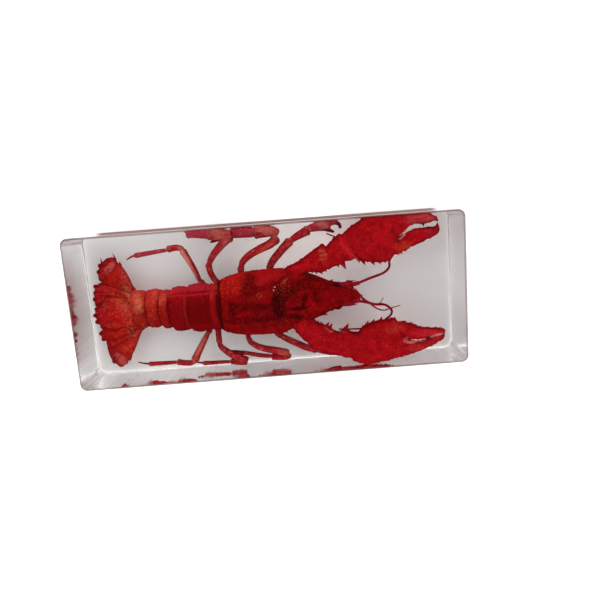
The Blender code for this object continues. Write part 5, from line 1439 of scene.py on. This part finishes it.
# The scales beside the long feelers: place, reach along and across, turn, and the tip of the point
FEELER_SCALES = {
    "antenna_left": ((21.6, 1.9, 14.1), 3.2, 0.85, 4.0, (25.3, 2.8, 14.3)),
    "antenna_right": ((21.8, -3.7, 14.1), 3.1, 0.85, 2.0, (25.3, -4.2, 14.3)),
}
horn = Finish("feeler_finish", 0.4, Specular_IOR_Level=0.0)
horn.cloud(0.8, 0.4, 0.6, (170, 34, 44), (134, 16, 34))
horn.lay(horn.step(horn.mark("reach"), 2.9, 3.4) * 0.7, 120, 20, 38)
horn.lay(horn.patches(0.6, 0.6, 0.7) * 0.35, 216, 96, 86)
horn.complete(horn.noise(0.3) * 0.2 + 0.35, horn.noise(0.25), 0.04)
for node, (stout, thread, thick, thin) in FEELERS.items():
    strands = [leg_joint([start, end], radius, radius * 0.85) for start, end, radius in stout]
    length = sum((Vector(b) - Vector(a)).length for a, b in zip(thread, thread[1:]))
    count = int(length / FEELER_RING) * 4
    strands.append([])
    for step in range(count + 1):
        swell = 1 + RING_SWELL * math.cos(step * math.pi / 2)
        radius = (thick + (thin - thick) * step / count) * swell
        strands[-1].append((run_along(thread, step / count), radius))
    piece = tubes(node + "_thread", strands)
    if node in FEELER_SCALES:
        place, long, wide, turn, point = FEELER_SCALES[node]
        leaf = bead(place, long, wide, 0.3, turn)
        join(piece, [leaf, cone((place[0] + 0.8, point[1], place[2]), point, 0.4)])
    measure_along(piece, strands)
    only(piece)
    bpy.ops.object.shade_smooth_by_angle(angle=math.radians(50))
    add_painted(piece, horn, "feelers", node)

# Under the body the legs' hips meet along a ridge of small plates, and a pair of jointed mouth limbs reaches
# forward. Soft paddles hang in pairs from the tail rings. All of it is the same horn as the legs and rings.
PADDLE_SIZE = (1.3, 0.42, 0.16)
# The hips: how far along X, how far to either side of the middle, and how high
HIPS = [(-1.0, 2.6, 7.3), (-7.2, 2.7, 6.9), (-12.4, 2.2, 6.7), (-14.9, 1.4, 5.6), (4.2, 3.0, 7.6)]
# A mouth limb: its joints as (points the joint runs through, radius at its root, at its mouth)
MOUTH_LIMB = [
    ([(3.0, 1.0, 7.2), (7.4, 1.1, 6.3), (12.0, 0.9, 7.4)], 0.75, 0.8),
    ([(11.8, 0.9, 7.3), (14.4, 0.8, 8.9)], 0.6, 0.55),
    ([(14.2, 0.8, 8.8), (15.9, 0.5, 10.6)], 0.45, 0.25),
]

hips = []
for x, aside, z in HIPS:
    hips.append(bead((x, BODY_MIDDLE, z - 1.0), 1.5, 1.1, 0.6))
    for side in (1, -1):
        hips.append(bead((x, BODY_MIDDLE + side * aside, z - 0.5), 1.3, 1.5, 0.9, side * 20))
hips = join(hips[0], hips[1:])
hips.name = "hip_plates"
limbs = []
for side in (1, -1):
    for points, root, mouth in MOUTH_LIMB:
        limbs.append(leg_joint([(x, BODY_MIDDLE + side * aside, z) for x, aside, z in points], root, mouth))
mouth_limbs = tubes("mouth_limbs", limbs)
paddles = []
for number in range(2, 6):
    low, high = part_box(f"abdomen_segment_{number}")
    x, z = (low.x + high.x) / 2 / MM, low.z / MM
    for side in (1, -1):
        y = BODY_MIDDLE + side * 2.9
        paddles.append(cone((x + 0.3, y, z + 1.0), (x - 0.5, y, z - 0.5), 0.4))
        for aside in (0.45, -0.35):
            paddle = bead((x - 1.3, y + side * aside, z - 0.9), *PADDLE_SIZE, side * aside * -30)
            paddle.rotation_euler[1] = math.radians(-24)
            paddles.append(paddle)
paddles = join(paddles[0], paddles[1:])
paddles.name = "tail_paddles"
for piece, voxel, finish, slot in (
    (hips, 0.16, leg, "legs"), (mouth_limbs, 0.12, leg, "legs"), (paddles, 0.1, tail, "abdomen"),
):
    fused(piece, voxel * MM)
    add_painted(piece, finish, slot)

# The eyes are dark, dull beads on short stalks, set under the edges of the rostrum. Their facets are horn too,
# and so small that they only show as a fine grain.
EYES = {"eye_left": (19.3, 1.75, 15.3), "eye_right": (19.5, -4.3, 15.0)}
EYE_SIZE = 0.95
pearl = Finish("eye_finish", 0.4, Specular_IOR_Level=0.0)
pearl.colour = pearl.mix(pearl.dots(0.2, 0.3, 0.5), paint(46, 8, 8), paint(72, 9, 11))
pearl.lay(pearl.step(pearl.axis("Y"), -2.0, -3.0), 96, 10, 17)
pearl.feed("Base Color", pearl.colour)
pearl.bump(pearl.cells(0.16), 0.015)
for node, (x, y, z) in EYES.items():
    side = 1 if node == "eye_left" else -1
    eye = bead((x, y, z), EYE_SIZE * 1.2, EYE_SIZE * 0.95, EYE_SIZE)
    eye.name = node + "_bead"
    only(eye)
    bpy.ops.object.transform_apply(location=True, rotation=True, scale=True)
    edited(eye, (bpy.ops.mesh.subdivide, {"number_cuts": 1, "smoothness": 1.0}))
    join(eye, [cone((x - 2.6, y - side * 1.2, z - 1.0), (x, y, z), 0.8)])
    bpy.ops.object.shade_smooth()
    add_painted(eye, pearl, "eyes", node)

# The studio is a white sweep under the block, lit softly from all sides and least from straight above, so that
# the polished top face mirrors little.
FLOOR_DROP = 0.4 * MM
FLOOR_WHITE = (0.93, 0.93, 0.93, 1.0)
SHADOW_COLOUR = (0.26, 0.145, 0.135, 1.0)
GLOW_COLOUR = (0.31, 0.30, 0.29, 1.0)
SIDE_LIGHT = 2.06
TOP_LIGHT = 0.03
# The light falls off between these two heights of the sky, where 1 is straight up
LIGHT_FALL = (0.84, 0.93)
bpy.ops.object.select_all(action="DESELECT")
bpy.ops.mesh.primitive_plane_add(size=3.0, location=(0, 0, -FLOOR_DROP))
floor = bpy.context.active_object
floor.name = "floor"
white = Finish("white_sweep", 0.9, Emission_Strength=1.0)
# A soft dark line lies along the foot of the back wall, where the photograph shows that edge dark
# The line is a painted contact shadow, and the back wall mirrors it as its dark edge
behind = white.axis("Y") - (block_high.y - WALL_LEAN) / MM
shadow = white.step(behind, -0.1, 0.05) * white.step(behind, 0.6, 0.25)
shadow = shadow * white.step(white.axis("X").calc("ABSOLUTE"), block_high.x / MM, block_high.x / MM - 3.0)
white.feed("Base Color", white.mix(shadow, FLOOR_WHITE, SHADOW_COLOUR))
# and the sweep glows a little as painted light, most of all behind the block and under the legs and claw on its
# left side
glow = white.spot(8.0, 15.0, 16.0, 9.0).calc("MAXIMUM", white.step(behind, 1.6, 3.6)) * 0.8
glow = glow + white.step(white.axis("X"), 44.0, 12.0) * 0.2
white.feed("Emission Color", white.mix(glow * (1.0 - shadow), (0.0, 0.0, 0.0, 1.0), GLOW_COLOUR))
white.on(floor)

world = bpy.data.worlds.new("studio")
world.use_nodes = True
sky = Graph(world.node_tree)
brightness = sky.step(sky.at_point("Generated", "Z"), *LIGHT_FALL, SIDE_LIGHT, TOP_LIGHT)
backdrop = sky.tree.nodes["Background"]
sky.tree.links.new(brightness.socket, backdrop.inputs["Strength"])
backdrop.inputs["Color"].default_value = (1.0, 1.0, 1.0, 1.0)
bpy.context.scene.world = world
bpy.context.scene.view_settings.view_transform = "Standard"
